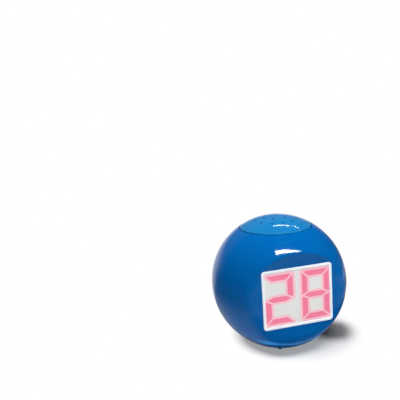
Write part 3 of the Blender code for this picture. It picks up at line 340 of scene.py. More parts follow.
# Hairline scratches, finger smudges and the dust that lies on upward faces
def makeHandlingGroup():
    group, start, end = newGroup("handlingMarks", ["Scratches", "Smudges", "Dust"],
                                 ["Scratch", "Smudge", "Dust"])
    spot = surfaceSpot(group)
    lines = 0.0
    for turn in handling["strokeTurns"]:
        mapped = node(group, 'ShaderNodeMapping', {"Vector": spot, "Rotation": turn,
                                                   "Scale": handling["strokeStretch"]}).outputs["Vector"]
        strokes = noise(group, mapped, handling["strokeScale"], 1.0, Distortion=handling["strokeBend"])["Fac"]
        gap = maths(group, 'ABSOLUTE', maths(group, 'SUBTRACT', strokes, 0.5))
        lines = maths(group, 'MAXIMUM', lines, spread(group, gap, 0.0, handling["strokeWidth"], 1.0, 0.0))
    patches = noise(group, spot, handling["patchScale"], 3.0)["Fac"]
    lines = multiply(group, lines, spread(group, patches, *handling["patchRange"]))
    warp = noise(group, spot, handling["warpScale"], 2.0)["Color"]
    bent = vectorMaths(group, 'MULTIPLY_ADD', spot, warp, warp)
    touch = noise(group, bent, handling["touchScale"], 4.0, Roughness=0.6)["Fac"]
    touch = spread(group, touch, *handling["touchRange"])
    specks = node(group, 'ShaderNodeTexVoronoi', {"Vector": spot, "Scale": handling["speckScale"]})
    speck = spread(group, specks.outputs["Distance"], *handling["speckRange"], 1.0, 0.0)
    level = axisOf(group, node(group, 'ShaderNodeNewGeometry').outputs["Normal"], "Z")
    fallen = multiply(group, speck, spread(group, level, *handling["upwardRange"]))
    fill(group, end, {"Scratch": multiply(group, lines, start["Scratches"]),
                      "Smudge": multiply(group, touch, start["Smudges"]),
                      "Dust": multiply(group, fallen, start["Dust"])})
    return group


wornEdges = {"bendRange": (0.53, 0.62), "breakScale": 160.0}


# Paler worn edges, read from how sharply the mesh bends
def makeEdgeGroup():
    group, start, end = newGroup("edgeWear", ["Amount"], ["Mask"])
    bend = node(group, 'ShaderNodeNewGeometry').outputs["Pointiness"]
    broken = noise(group, surfaceSpot(group), wornEdges["breakScale"], 4.0)["Fac"]
    worn = multiply(group, spread(group, bend, *wornEdges["bendRange"]), broken)
    fill(group, end, {"Mask": multiply(group, worn, start["Amount"])})
    return group


grainGroup = makeGrainGroup()
handlingGroup = makeHandlingGroup()
edgeGroup = makeEdgeGroup()


def useGroup(tree, group, **values):
    return node(tree, 'ShaderNodeGroup', values, node_tree=group).outputs


def newMaterial(name):
    material = bpy.data.materials.new(name)
    material.use_nodes = True
    return material, material.node_tree, material.node_tree.nodes["Principled BSDF"]


def bumped(tree, height, strength, distance):
    return node(tree, 'ShaderNodeBump', {"Height": height, "Strength": strength,
                                         "Distance": distance}).outputs["Normal"]


# What wear and handling do to any finish
wear = {"paleGain": 1.6, "paleLift": 0.05, "dustColour": (0.55, 0.54, 0.52), "height": 0.0003,
        "roughness": {"Smudge": 0.16, "Scratch": 0.25, "Dust": 0.5}}


# A moulded or painted finish. Colours are linear.
def moulded(name, colour, roughness, grain=700.0, depth=0.02, scratches=0.4, smudges=0.5, dust=0.4, worn=0.3,
            metallic=0.0, tone=0.12, gloss=0.5, pattern=None, glow=None):
    material, tree, shader = newMaterial(name)
    texture = useGroup(tree, grainGroup, Scale=grain)
    marks = useGroup(tree, handlingGroup, Scratches=scratches, Smudges=smudges, Dust=dust)
    edges = useGroup(tree, edgeGroup, Amount=worn)
    base = pattern(tree) if pattern else colour
    shade = mixColour(tree, texture["Tone"], mixColour(tree, tone, base, (0.0, 0.0, 0.0)), base)
    pale = tuple(min(1.0, c * wear["paleGain"] + wear["paleLift"]) for c in colour)
    shade = mixColour(tree, edges["Mask"], shade, pale)
    shade = mixColour(tree, marks["Dust"], shade, wear["dustColour"])
    rough = roughness
    for mark, share in wear["roughness"].items():
        rough = maths(tree, 'MULTIPLY_ADD', marks[mark], share, rough)
    height = maths(tree, 'SUBTRACT', texture["Height"], marks["Scratch"])
    normal = bumped(tree, height, depth, wear["height"])
    fill(tree, shader, {"Base Color": shade, "Roughness": rough, "Normal": normal, "Metallic": metallic,
                        "Specular IOR Level": gloss, **(glow or {})})
    return material


board = {"Scale": 190.0, "Mortar Size": 0.06, "Color1": (0.010, 0.16, 0.06), "Color2": (0.012, 0.19, 0.07),
         "Mortar": (0.03, 0.30, 0.12)}
cellSleeve = {"dark": (0.02, 0.02, 0.022), "ends": (0.62, 0.36, 0.10), "darkHalf": 0.012}


# Solder mask with a net of tracks under it
def boardPattern(tree):
    return node(tree, 'ShaderNodeTexBrick', {"Vector": surfaceSpot(tree), **board}).outputs["Color"]


# A cell's sleeve: dark, with coppery ends
def cellPattern(tree):
    along = maths(tree, 'ABSOLUTE', axisOf(tree, surfaceSpot(tree), "X"))
    atEnd = maths(tree, 'GREATER_THAN', along, cellSleeve["darkHalf"])
    return mixColour(tree, atEnd, cellSleeve["dark"], cellSleeve["ends"])


shellBlue = {"colour": (0.0003, 0.132, 0.45), "roughness": 0.06, "grain": 380.0, "depth": 0.004,
             "scratches": 0.25, "smudges": 0.25, "dust": 0.05, "worn": 0.10, "tone": 0.05, "gloss": 0.3}
capBlue = dict(shellBlue, colour=(0.010, 0.20, 0.49), roughness=0.05, depth=0.0008, scratches=0.04,
               smudges=0.10)
finishes = {
    "shell": moulded("glossBlueShell", **shellBlue),
    "cap": moulded("glossBlueCap", **capBlue),
    "keys": moulded("satinBlueKeys", (0.002, 0.07, 0.30), 0.28, depth=0.04),
    "white": moulded("whiteMoulding", (0.82, 0.83, 0.86), 0.4, depth=0.03, worn=0.1),
    "black": moulded("blackMoulding", (0.018, 0.018, 0.02), 0.35, depth=0.05),
    "rubber": moulded("footRubber", (0.035, 0.035, 0.038), 0.8, grain=500.0, depth=0.3, dust=1.0,
                      smudges=0.2),
    "mat": moulded("keypadRubber", (0.55, 0.55, 0.55), 0.7, grain=500.0, depth=0.2),
    "paper": moulded("conePaper", (0.06, 0.058, 0.055), 0.9, grain=260.0, depth=0.5, scratches=0.0),
    "magnet": moulded("paintedMagnet", (0.04, 0.04, 0.045), 0.45, depth=0.2),
    "steel": moulded("zincSteel", (0.55, 0.56, 0.58), 0.3, grain=260.0, depth=0.1, metallic=1.0, dust=0.1),
    "contact": moulded("nickelContact", (0.70, 0.68, 0.62), 0.22, grain=300.0, depth=0.06, metallic=1.0,
                       dust=0.0),
    "mask": moulded("greyMask", (0.68, 0.68, 0.66), 0.55),
    "guide": moulded("milkyGuide", (0.85, 0.80, 0.80), 0.35),
    "print": moulded("whitePrint", (0.85, 0.86, 0.88), 0.35, scratches=0.6, dust=0.0, worn=0.0),
    "board": moulded("circuitBoard", (0.012, 0.18, 0.07), 0.35, depth=0.05, pattern=boardPattern),
    "cell": moulded("cellSleeve", (0.10, 0.10, 0.11), 0.3, metallic=0.3, pattern=cellPattern),
    # The border's faint bluish glow is painted brightness: the white frame shines though no lamp lights it
    "border": moulded("whiteBorderPaintedGlow", (0.90, 0.95, 0.99), 0.25, depth=0.01, worn=0.0, dust=0.1, tone=0.02,
                      glow={"Emission Color": (0.6, 0.8, 1.0), "Emission Strength": 0.15}),
}
print("finishes made:", len(finishes))

nodeFinishes = {
    "base_tray": "shell", "battery_door": "shell", "button_collar": "white", "button_spring": "steel",
    "top_switch": "black", "speaker_frame": "steel", "speaker_cone": "paper", "speaker_magnet": "magnet",
    "segment_mask": "mask", "light_guide": "guide", "reflector_box": "white", "led_board": "board",
    "board_screw": "steel", "keypad_mat": "mat", "main_board": "board", "door_screw": "steel",
    "battery_": "cell", "contact": "contact", "case_screw": "steel", "foot": "rubber",
}
for name, obj in nodes.items():
    for start, finish in sorted(nodeFinishes.items(), key=lambda pair: len(pair[0])):
        if name.startswith(start):
            obj.data.materials.clear()
            obj.data.materials.append(finishes[finish])


# The ball's front is a sphere cut by a flat face, which leans out above the window to form a brow
brow = {"foot": 0.0277, "slope": radians(12), "footBlend": 0.0005, "crest": 0.0010,
        "sideLevels": (0.020, 0.032)}
frontMesh = {"flatReach": 0.036, "edgeReach": 0.0505, "outside": (6, 60, 44), "inside": (4, 24, 24)}


def roundMax(a, b, radius):
    corner = np.hypot(np.maximum(radius + a, 0), np.maximum(radius + b, 0))
    return np.minimum(-radius, np.maximum(a, b)) + corner


def blendMin(a, b, width):
    share = np.maximum(width - np.abs(a - b), 0) / width
    return np.minimum(a, b) - share * share * width / 4


# Zero on the front's outside, below zero in it. Depth runs out of the display.
def frontField(x, depth, z):
    sphere = np.sqrt(x * x + depth * depth + z * z) - ball["radius"]
    face = depth - ball["frontFlat"]
    leaning = face * cos(brow["slope"]) - (z - brow["foot"]) * sin(brow["slope"])
    low, high = brow["sideLevels"]
    share = np.clip((z - low) / (high - low), 0, 1)
    edge = ball["frontRound"] + (brow["crest"] - ball["frontRound"]) * share * share * (3 - 2 * share)
    return roundMax(sphere, blendMin(face, leaning, brow["footBlend"]), edge)


def frontDepth(x, z, inset, halvings=36):
    low, high = np.zeros_like(x), np.full_like(x, ball["radius"])
    for i in range(halvings):
        middle = (low + high) / 2
        outside = frontField(x, middle, z) > -inset
        high = np.where(outside, middle, high)
        low = np.where(outside, low, middle)
    return low


# Rings of points about the display's middle: over the flat, round its edge, then along the ball to the seam
def frontRings(inset, flatCount, edgeCount, ballCount):
    reach = ball["radius"] - inset
    turn = np.linspace(0, 2 * pi, ball["steps"], endpoint=False)
    radii = list(np.linspace(0, frontMesh["flatReach"], flatCount)[1:])
    radii += list(np.linspace(frontMesh["flatReach"], frontMesh["edgeReach"] - inset, edgeCount)[1:])
    rings = [(r * np.sin(turn), frontDepth(r * np.sin(turn), r * np.cos(turn), inset), r * np.cos(turn))
             for r in radii]
    for lean in np.linspace(asin(radii[-1] / reach), pi / 2, ballCount)[1:]:
        r = reach * sin(lean)
        rings.append((r * np.sin(turn), np.full_like(turn, reach * cos(lean)), r * np.cos(turn)))
    return rings


def frontSolid():
    steps = ball["steps"]
    rings = frontRings(0.0, *frontMesh["outside"]) + frontRings(ball["wall"], *frontMesh["inside"])[::-1]
    points = [(0, -ball["frontFlat"], 0)]
    for x, depth, z in rings:
        points += [(a, -b, c) for a, b, c in zip(x, depth, z)]
    points.append((0, ball["wall"] - ball["frontFlat"], 0))
    faces = []
    for j in range(steps):
        after = (j + 1) % steps
        faces.append((0, 1 + j, 1 + after))
        for i in range(len(rings) - 1):
            first, second = 1 + i * steps, 1 + (i + 1) * steps
            faces.append((first + j, second + j, second + after, first + after))
        last = 1 + (len(rings) - 1) * steps
        faces.append((last + j, len(points) - 1, last + after))
    mesh = bpy.data.meshes.new("ballFront")
    mesh.from_pydata(points, [], faces)
    return place(bpy.data.objects.new("ballFront", mesh))


def frontNormals(obj, tolerance=0.00003, step=0.00002):
    x, y, z = (vertexPlaces(obj.data) - np.array(ballCentre)).T
    slope = np.stack([frontField(x + step, -y, z) - frontField(x - step, -y, z),
                      frontField(x, -y - step, z) - frontField(x, step - y, z),
                      frontField(x, -y, z + step) - frontField(x, -y, z - step)], 1)
    slope /= np.maximum(np.linalg.norm(slope, axis=1), 1e-12)[:, None]
    bendNormals(obj, np.abs(frontField(x, -y, z)) < tolerance, slope)


capHole = {"radius": 0.0348, "depth": 0.0440, "chamfer": 0.00025}
baseHole = {"radius": 0.0336, "depth": 0.0440}
window = {"width": 0.0668, "height": 0.0552, "corner": 0.0030, "gap": 0.0003, "ledge": 0.0020,
          "recess": 0.0461, "border": 0.0023, "thickness": 0.0015, "bevel": 0.00025,
          "cut": 0.01}


# What the cap and the base tray take out of the ball's two ends
def poleCutters():
    clear = ball["radius"] * ball["clear"]
    radius, chamfer = capHole["radius"], capHole["chamfer"]
    edge = rise(ball["radius"], radius)
    top = [(0, clear), (radius + chamfer + clear - edge, clear), (radius, edge - chamfer * 1.5),
           (radius, capHole["depth"]), (0, capHole["depth"])]
    bottom = [(0, -baseHole["depth"]), (baseHole["radius"], -baseHole["depth"]), (baseHole["radius"], -clear),
              (0, -clear)]
    return [lathe("capHoleCutter", top, ball["steps"]), lathe("baseHoleCutter", bottom, ball["steps"])]


def roundedRectangle(width, height, corner, steps=8):
    points = []
    for turn, (sx, sy) in enumerate([(1, 1), (-1, 1), (-1, -1), (1, -1)]):
        x, y = sx * (width / 2 - corner), sy * (height / 2 - corner)
        for i in range(steps + 1):
            a = (turn + i / steps) * pi / 2
            points.append((x + corner * cos(a), y + corner * sin(a)))
    return points


def makeBallFront():
    shell = frontSolid()
    gap, corner = 2 * window["gap"], window["corner"] + window["gap"]
    ledge = 2 * window["ledge"] - gap
    recess = roundedRectangle(window["width"] + gap, window["height"] + gap, corner)
    opening = roundedRectangle(window["width"] - ledge, window["height"] - ledge, corner / 2)
    recess = outlinePlate("windowRecess", [recess], ball["wall"],
                          (0, -window["recess"] - ball["wall"] / 2, 0), turnFront)
    opening = outlinePlate("windowOpening", [opening], window["cut"], (0, -ball["frontFlat"], 0), turnFront)
    shell = carve(shell, [settle(recess), settle(opening)] + poleCutters())
    frontNormals(shell)
    dress(shell, "case", "blue_shell", finishes["shell"], "front_shell")


browEdge = {"fillet": 0.0012, "toe": 0.2, "toeRise": 0.15, "steps": 720}


# The space before the keypad: flat below an arched, sloping brow
def keypadSpace(inset):
    depth, low = ball["radius"], ball["backFlat"] - inset
    lean = tan(ball["browSlope"])
    edge = ball["browArch"] + inset / cos(ball["browSlope"]) - inset * lean
    fillet, toe = browEdge["fillet"], browEdge["fillet"] * browEdge["toe"]
    profile = [(0, depth + low), (edge + depth * lean, depth + low), (edge + fillet * lean, low + fillet),
               (edge - toe, low + fillet * browEdge["toeRise"]), (edge - fillet, low), (0, low)]
    spot = (0, 0, ball["browHeight"] - ball["browArch"])
    return lathe("keypadSpace", profile, browEdge["steps"], spot, turnBack)


keypad = {"pitchX": 0.01175, "pitchZ": 0.0132, "drop": 0.0070, "radius": 0.0041, "seam": 0.0004,
          "proud": 0.0015, "wideLength": 0.0230, "wideBevel": 0.0005, "under": 0.0345, "holeDepth": 0.008,
          "holeBeyond": 0.003, "crown": 0.0006, "crownDrop": 0.0001, "dish": 0.00012, "steps": 64,
          "holeSteps": 48, "dishSpread": 0.2, "crownLean": 0.15, "crownSteps": 8, "smoothAngle": 50,
          "markSize": 0.0052, "wideMarkSize": 0.0036, "markRaise": 0.00002, "markDepth": 0.00003,
          "markSwell": 0.00006}
wells = {"x": 0.0405, "levels": (0.0275, -0.0240), "radius": 0.0032, "floor": 0.0080, "wall": 0.0012,
         "foot": 0.002, "screwRadius": 0.0017, "screwReach": 0.01, "skin": 0.0005, "skinFlat": 0.001,
         "trimReach": 0.02, "trimBeyond": 1.2, "steps": 48, "coarse": 24}


# Names, marks and places of the round keys
def keySpots():
    spots = []
    for digit in range(1, 10):
        column, row = (digit - 1) % 3 - 1, (digit - 1) // 3 - 1
        spots.append(("key_%d" % digit, str(digit), -column * keypad["pitchX"],
                      row * keypad["pitchZ"] - keypad["drop"]))
    spots.append(("key_0", "0", 0, -2 * keypad["pitchZ"] - keypad["drop"]))
    sideMarks = {"left": ("+", "-", "=", "C"), "right": ("<", ">", "*", "#")}
    for side, heading in (("left", 1), ("right", -1)):
        for number in range(4):
            spots.append(("key_%s_%d" % (side, number + 1), sideMarks[side][number],
                          heading * 2 * keypad["pitchX"], (1.5 - number) * keypad["pitchZ"] - keypad["drop"]))
    return spots


def stadium(length, radius, steps=16):
    points = []
    for side in (1, -1):
        for i in range(steps + 1):
            a = side * pi * (i / steps - 0.5)
            points.append((side * (length / 2 - radius) + side * radius * cos(a), radius * sin(a)))
    return points


# The back of the ball from the given depth on, less the space before the keypad, all of it inset
def backSolid(name, inset, count, flat):
    radius = ball["radius"] - inset
    profile = arc(radius, 0, pi / 2, count)[:-1] + [(radius, flat), (0, flat)]
    return carve(lathe(name, profile, ball["steps"], turn=turnBack), [settle(keypadSpace(inset))])


def wellRods(name, spots, low, high, radius, steps=wells["steps"]):
    return rods(name, [((x, low, z), (x, high, z)) for x, z in spots], radius, steps)


def makeBallRear():
    radius, seam, beyond, count = ball["radius"], 0.00005, -0.002, ball["arcSteps"]
    outside = arc(radius, 0, pi / 2, count)[:-1] + [(radius, seam)]
    # The core leaves one even wall behind the ball and the keypad face, and reaches past the seam
    core = backSolid("rearCore", ball["wall"], ball["innerSteps"], beyond)
    shell = carve(backSolid("rearSolid", 0.0, count, seam), [core])
    wellSpots = [(side * wells["x"], level) for level in wells["levels"] for side in (-1, 1)]
    tubes = wellRods("wellTubes", wellSpots, wells["floor"] - wells["foot"], radius,
                     wells["radius"] + wells["wall"])
    tubes = carve(tubes, [wellRods("wellTrim", wellSpots, ball["backFlat"] + wells["trimReach"],
                                   radius * wells["trimBeyond"], wells["radius"] * 2, wells["coarse"])])
    limit = backSolid("wellLimit", wells["skin"], ball["innerSteps"], wells["skinFlat"])
    tubes = carve(tubes, [limit], 'INTERSECT')
    shell = carve(shell, [tubes], 'UNION')
    holes = rods("keyHoles", [((x, keypad["under"], z), (x, ball["backFlat"] + keypad["holeBeyond"], z))
                              for name, mark, x, z in keySpots()], keypad["radius"] + keypad["seam"],
                 keypad["holeSteps"])
    wide = outlinePlate("wideHole", [stadium(keypad["wideLength"] + 2 * keypad["seam"],
                                             keypad["radius"] + keypad["seam"])], keypad["holeDepth"],
                        (0, ball["backFlat"], 2 * keypad["pitchZ"] - keypad["drop"]), turnBack)
    bores = wellRods("wellBores", wellSpots, wells["floor"], radius * ball["clear"], wells["radius"])
    screws = wellRods("wellScrewHoles", wellSpots, wells["floor"] - wells["screwReach"],
                      wells["floor"] + wells["screwReach"], wells["screwRadius"], wells["coarse"])
    shell = carve(shell, [bores, screws, holes, settle(wide)] + poleCutters())
    trueNormals(shell, outside, (0, 1, 0))
    dress(shell, "case", "blue_shell", finishes["shell"], "rear_shell")


cap = {"radius": 0.0342, "edgeRound": 0.0006, "discRadius": 0.0288, "discRaise": 0.00001, "roll": 0.0030,
       "underside": 0.0630, "wall": 0.002, "skirtBottom": 0.0445, "ringRadii": (0.0262, 0.0240, 0.0222),
       "ringDepth": 0.000002, "ringWidth": 0.0010, "rollFoot": 0.0004,
       "steps": {"disc": 96, "roll": 24, "edge": 12, "brink": 9, "underside": 24, "hole": 24},
       "holeRadius": 0.0011, "holeRings": ((0.0200, 12), (0.0115, 6), (0.0, 1)),
       "holeBeyond": (-0.012, 0.002)}


# The cap's outside, from its middle over the disc and its roll to the rounded brink
def capOutside():
    radius, top = ball["radius"], ball["radius"] + cap["discRaise"]
    steps = cap["steps"]
    profile = []
    for i in range(steps["disc"] + 1):
        x = (cap["discRadius"] - cap["roll"]) * i / steps["disc"]
        dip = sum(cap["ringDepth"] * np.exp(-((x - ring) / cap["ringWidth"] * 2) ** 2)
                  for ring in sorted(cap["ringRadii"]))
        profile.append((x, rise(top, x) + dip))
    start = profile[-1]
    footX = cap["discRadius"] + cap["rollFoot"]
    foot = (footX, rise(radius, footX))
    for i in range(1, steps["roll"] + 1):
        t = i / steps["roll"]
        x = start[0] + (footX - start[0]) * t
        before = start[1] - start[0] / top * (x - start[0])
        after = foot[1] - footX / radius * (x - footX)
        profile.append((x, before + (after - before) * (t * t * (3 - 2 * t))))
    brink = cap["radius"] - cap["edgeRound"]
    lean = asin(brink / radius)
    profile += arc(radius, asin(footX / radius), lean, steps["edge"])[1:]
    middle = (brink, profile[-1][1] - cap["edgeRound"])
    profile += arc(cap["edgeRound"], lean, pi / 2, steps["brink"], middle)[1:]
    return profile


def makePushCap():
    outside = capOutside()
    inside = cap["radius"] - cap["wall"]
    profile = outside + [(cap["radius"], cap["skirtBottom"]), (inside, cap["skirtBottom"])]
    profile += arc(cap["underside"], asin(inside / cap["underside"]), 0, cap["steps"]["underside"])
    low, high = cap["underside"] + cap["holeBeyond"][0], ball["radius"] + cap["holeBeyond"][1]
    ends = []
    for ring, count in cap["holeRings"]:
        for i in range(count):
            x, y = ring * cos(2 * pi * i / count), ring * sin(2 * pi * i / count)
            ends.append(((x, y, low), (x, y, high)))
    holes = rods("soundHoles", ends, cap["holeRadius"], cap["steps"]["hole"])
    shell = carve(lathe("pushCap", profile, ball["steps"]), [holes])
    trueNormals(shell, outside, (0, 0, 1), 0.00004)
    dress(shell, "push_cap", "blue_cap", finishes["cap"], "top_button")


# The seven segments of a digit, mitred where they meet
digit = {"width": 0.0264, "height": 0.0454, "spacing": 0.0348, "side": 0.0054, "level": 0.0049,
         "mitre": 0.0014}
# A two on the left, an eight on the right
litSegments = {-1: (0, 1, 6, 4, 3), 1: (0, 1, 2, 3, 4, 5, 6)}


def trim(outline, through, outward):
    kept = []
    for i, b in enumerate(outline):
        a = outline[i - 1]
        da = (a[0] - through[0]) * outward[0] + (a[1] - through[1]) * outward[1]
        db = (b[0] - through[0]) * outward[0] + (b[1] - through[1]) * outward[1]
        if da * db < 0:
            t = da / (da - db)
            kept.append((a[0] + t * (b[0] - a[0]), a[1] + t * (b[1] - a[1])))
        if db <= 0:
            kept.append(b)
    return kept


def segmentOutlines(middle):
    halfW, halfH = digit["width"] / 2, digit["height"] / 2
    side, level = digit["side"], digit["level"]
    cornerSlope, middleSlope = hypot(side, level), hypot(side, level / 2)
    atCorner = (level / cornerSlope, side / cornerSlope)
    atMiddle = (level / 2 / middleSlope, -side / middleSlope)
    backOff = -digit["mitre"] / 2

    def cut(x, z, outward, sx=1, sz=1):
        return (x, z), (sx * outward[0], sz * outward[1])

    def shaped(limits, low, high):
        outline = [low, (high[0], low[1]), high, (low[0], high[1])]
        for point, outward in limits:
            through = (point[0] + backOff * outward[0], point[1] + backOff * outward[1])
            outline = trim(outline, through, outward)
        return outline

    def flipped(outline, sx, sz):
        return [(sx * x, sz * z) for x, z in outline]

    top = shaped([cut(-halfW, halfH, atCorner, -1, -1), cut(halfW, halfH, atCorner, 1, -1)],
                 (-halfW, halfH - level), (halfW, halfH))
    upright = shaped([cut(-halfW, halfH, atCorner), cut(-halfW, 0, atMiddle)],
                     (-halfW, 0), (-halfW + side, halfH))
    bar = shaped([cut(-halfW, 0, atMiddle, -1, -1), cut(-halfW, 0, atMiddle, -1),
                  cut(halfW, 0, atMiddle, 1, -1), cut(halfW, 0, atMiddle)],
                 (-halfW, -level / 2), (halfW, level / 2))
    outlines = [top, flipped(upright, -1, 1), flipped(upright, -1, -1), flipped(top, 1, -1),
                flipped(upright, 1, -1), upright, bar]
    return [[(x + middle, z) for x, z in outline] for outline in outlines]


# Signed distance from points to an outline, negative inside
def outlineDistance(points, outline):
    corners = np.array(outline)
    best = np.full(len(points), 1e9)
    inside = np.zeros(len(points), bool)
    for i in range(len(corners)):
        a, b = corners[i - 1], corners[i]
        run = b - a
        t = np.clip(((points - a) @ run) / (run @ run), 0, 1)
        best = np.minimum(best, np.linalg.norm(points - a - t[:, None] * run, axis=1))
        crosses = (a[1] > points[:, 1]) != (b[1] > points[:, 1])
        edgeX = a[0] + (points[:, 1] - a[1]) * (b[0] - a[0]) / (b[1] - a[1] if b[1] != a[1] else 1e-12)
        inside ^= crosses & (points[:, 0] < edgeX)
    return np.where(inside, -best, best)


# The stops are shares of the way from deep in a segment to out of its reach
film = {"step": 0.00022, "glowReach": 0.0028, "sunk": 0.0004, "thickness": 0.0008, "overlap": 0.0003,
        # The halo colour is painted light spill round the lit segments, not the film's own colour
        "field": (0.84, 0.85, 0.83), "core": (0.90, 0.24, 0.39), "halo": (1.0, 0.62, 0.70), "glow": 0.2,
        # The field's faint grey glow is painted brightness; the segment glows are the display's own light
        "fieldPaintedGlow": (0.40, 0.40, 0.40), "coreGlow": (0.9, 0.06, 0.14), "haloGlow": (0.9, 0.20, 0.28),
        "stops": ((0.0, "core"), (0.45, "core"), (0.53, "halo"), (0.80, "halo"), (1.0, "field")),
        "glowStops": ((0.0, "coreGlow"), (0.45, "coreGlow"), (0.54, "haloGlow"), (1.0, "fieldPaintedGlow")),
        "marks": {"Scratches": 0.3, "Smudges": 0.5, "Dust": 0.15}, "grain": 1500.0, "bump": (0.03, 0.0002),
        "dust": (0.6, 0.6, 0.58), "roughness": 0.32, "smudgeRoughness": 0.2}


# The lit film: its colour follows how far a point lies from the nearest lit segment
def filmMaterial():
    material, tree, shader = newMaterial("litFilm")
    reach = node(tree, 'ShaderNodeAttribute', attribute_name="litDistance").outputs["Fac"]
    marks = useGroup(tree, handlingGroup, **film["marks"])
    height = useGroup(tree, grainGroup, Scale=film["grain"])["Height"]
    # shade carries painted light spill round the segments; glow adds the display's light and, on the field,
    # painted brightness
    shade, glow = (colourRamp(tree, reach, [(at, film[colour]) for at, colour in film[stops]], 'EASE')
                   for stops in ("stops", "glowStops"))
    rough = maths(tree, 'MULTIPLY_ADD', marks["Smudge"], film["smudgeRoughness"], film["roughness"])
    fill(tree, shader, {"Base Color": mixColour(tree, marks["Dust"], shade, film["dust"]),
                        "Roughness": rough, "Normal": bumped(tree, height, *film["bump"]),
                        "Emission Color": glow, "Emission Strength": film["glow"]})
    return material


def makeDisplay():
    inner = (window["width"] - 2 * window["border"], window["height"] - 2 * window["border"])
    edge = roundedRectangle(window["width"], window["height"], window["corner"])
    hole = roundedRectangle(*inner, window["corner"] * 0.5)
    rim = outlinePlate("displayBorder", [edge, hole], window["thickness"],
                       (0, window["thickness"] / 2 - ball["windowFront"], 0), turnFront, window["bevel"])
    dress(smoothByAngle(settle(rim)), "case", "window", finishes["border"], "display_window")
    # A fine grid carries the glow; its edge lies under the border
    width, height = inner[0] + film["overlap"], inner[1] + film["overlap"]
    bm = bmesh.new()
    bmesh.ops.create_grid(bm, x_segments=round(width / film["step"]), y_segments=round(height / film["step"]),
                          size=0.5, matrix=Matrix.Diagonal((width, height, 1, 1)))
    mesh = meshFrom("litFilm", bm)
    flat = vertexPlaces(mesh)[:, :2]
    distance = np.full(len(flat), 1e9)
    for side, lit in litSegments.items():
        outlines = segmentOutlines(side * digit["spacing"] / 2)
        for number in lit:
            distance = np.minimum(distance, outlineDistance(flat, outlines[number]))
    value = np.clip(distance / film["glowReach"] * 0.5 + 0.5, 0, 1).astype(np.float32)
    mesh.attributes.new("litDistance", 'FLOAT', 'POINT').data.foreach_set("value", value)
    spot = (0, film["sunk"] - ball["windowFront"], 0)
    sheet = place(bpy.data.objects.new("litFilm", mesh), spot, turnFront)
    solid = sheet.modifiers.new("sheet", 'SOLIDIFY')
    solid.thickness = film["thickness"]
    solid.offset = -1
    dress(smoothByAngle(applied(sheet)), "case", "window", filmMaterial(), "display_window")


def writeMark(name, text, size, x, z, body):
    words = bpy.data.curves.new(name, 'FONT')
    words.body = text
    words.size = size
    words.align_x = 'CENTER'
    words.align_y = 'CENTER'
    words.extrude = keypad["markDepth"]
    words.offset = keypad["markSwell"]
    spot = (x, ball["backFlat"] + keypad["proud"] + keypad["markRaise"], z)
    mark = settle(place(bpy.data.objects.new(name, words), spot, (pi / 2, 0, pi)))
    dress(mark, body, "keys", finishes["print"])


def makeKeys():
    proud = ball["backFlat"] + keypad["proud"]
    radius, crown = keypad["radius"], keypad["crown"]
    # The top is faintly dished inside a rounded crown
    profile = [(0, proud)] + [(radius * keypad["dishSpread"] * i, proud - keypad["dish"] * (i / 3) ** 2)
                              for i in range(1, 4)]
    profile += arc(crown, keypad["crownLean"], pi / 2, keypad["crownSteps"],
                   (radius - crown, proud - crown - keypad["crownDrop"]))
    profile += [(radius, keypad["under"]), (0, keypad["under"])]
    for name, mark, x, z in keySpots():
        key = settle(lathe(name.replace("key_", "keyTop_"), profile, keypad["steps"], (x, 0, z), turnBack))
        dress(smoothByAngle(key, keypad["smoothAngle"]), name, "keys", finishes["keys"], name)
        writeMark(name.replace("key_", "keyMark_"), mark, keypad["markSize"], x, z, name)
    z = 2 * keypad["pitchZ"] - keypad["drop"]
    wide = outlinePlate("keyTop_wide", [stadium(keypad["wideLength"], radius)], proud - keypad["under"],
                        (0, (proud + keypad["under"]) / 2, z), turnBack, keypad["wideBevel"])
    wide = smoothByAngle(settle(wide), keypad["smoothAngle"])
    dress(wide, "key_wide", "keys", finishes["keys"], "key_wide")
    writeMark("keyMark_wide", "ON/OFF", keypad["wideMarkSize"], 0, z, "key_wide")


makeBallFront()
makeBallRear()
print("ball made")
makePushCap()
makeDisplay()
print("cap and display made")
makeKeys()
print("keys made")

# Floor, light and camera
camera = {"azimuth": -21.134, "elevation": 20.457, "roll": 2.020, "distance": 0.50471, "focalPixels": 500.0,
          "seenAt": (277.70, 279.35), "frame": 400, "sensor": 36, "clip": 0.01}


def pixelRay(pixel):
    middle, focal = camera["frame"] / 2, camera["focalPixels"]
    return Vector(((pixel[0] - middle) / focal, (middle - pixel[1]) / focal, -1))


def placeCamera():
    azimuth, elevation = radians(camera["azimuth"]), radians(camera["elevation"])
    back = Vector((sin(azimuth) * cos(elevation), -cos(azimuth) * cos(elevation), sin(elevation)))
    right = Vector((cos(azimuth), sin(azimuth), 0))
    look = Matrix((right, back.cross(right), back))
    look = Matrix.Rotation(radians(camera["roll"]), 3, 'Z') @ look
    ray = pixelRay(camera["seenAt"]).normalized()
    look = Vector((0, 0, -1)).rotation_difference(ray).to_matrix() @ look
    data = bpy.data.cameras.new("camera")
    data.sensor_width = camera["sensor"]
    data.lens = data.sensor_width * camera["focalPixels"] / camera["frame"]
    data.clip_start = camera["clip"]
    eye = show(bpy.data.objects.new("camera", data))
    towards = look.transposed()
    spot = ballCentre - towards @ (ray * camera["distance"])
    eye.matrix_world = Matrix.Translation(spot) @ towards.to_4x4()
    bpy.context.scene.camera = eye
    return eye


eye = placeCamera()


# Where the ball mirrors to at a point of the picture
def mirrorRay(pixel):
    aim = (eye.matrix_world.to_3x3() @ pixelRay(pixel)).normalized()
    start = eye.matrix_world.translation - ballCentre
    nearest = -start.dot(aim)
    spot = start + aim * (nearest - sqrt(nearest ** 2 - start.length_squared + ball["radius"] ** 2))
    normal = spot.normalized()
    return ballCentre + spot, aim - 2 * aim.dot(normal) * normal


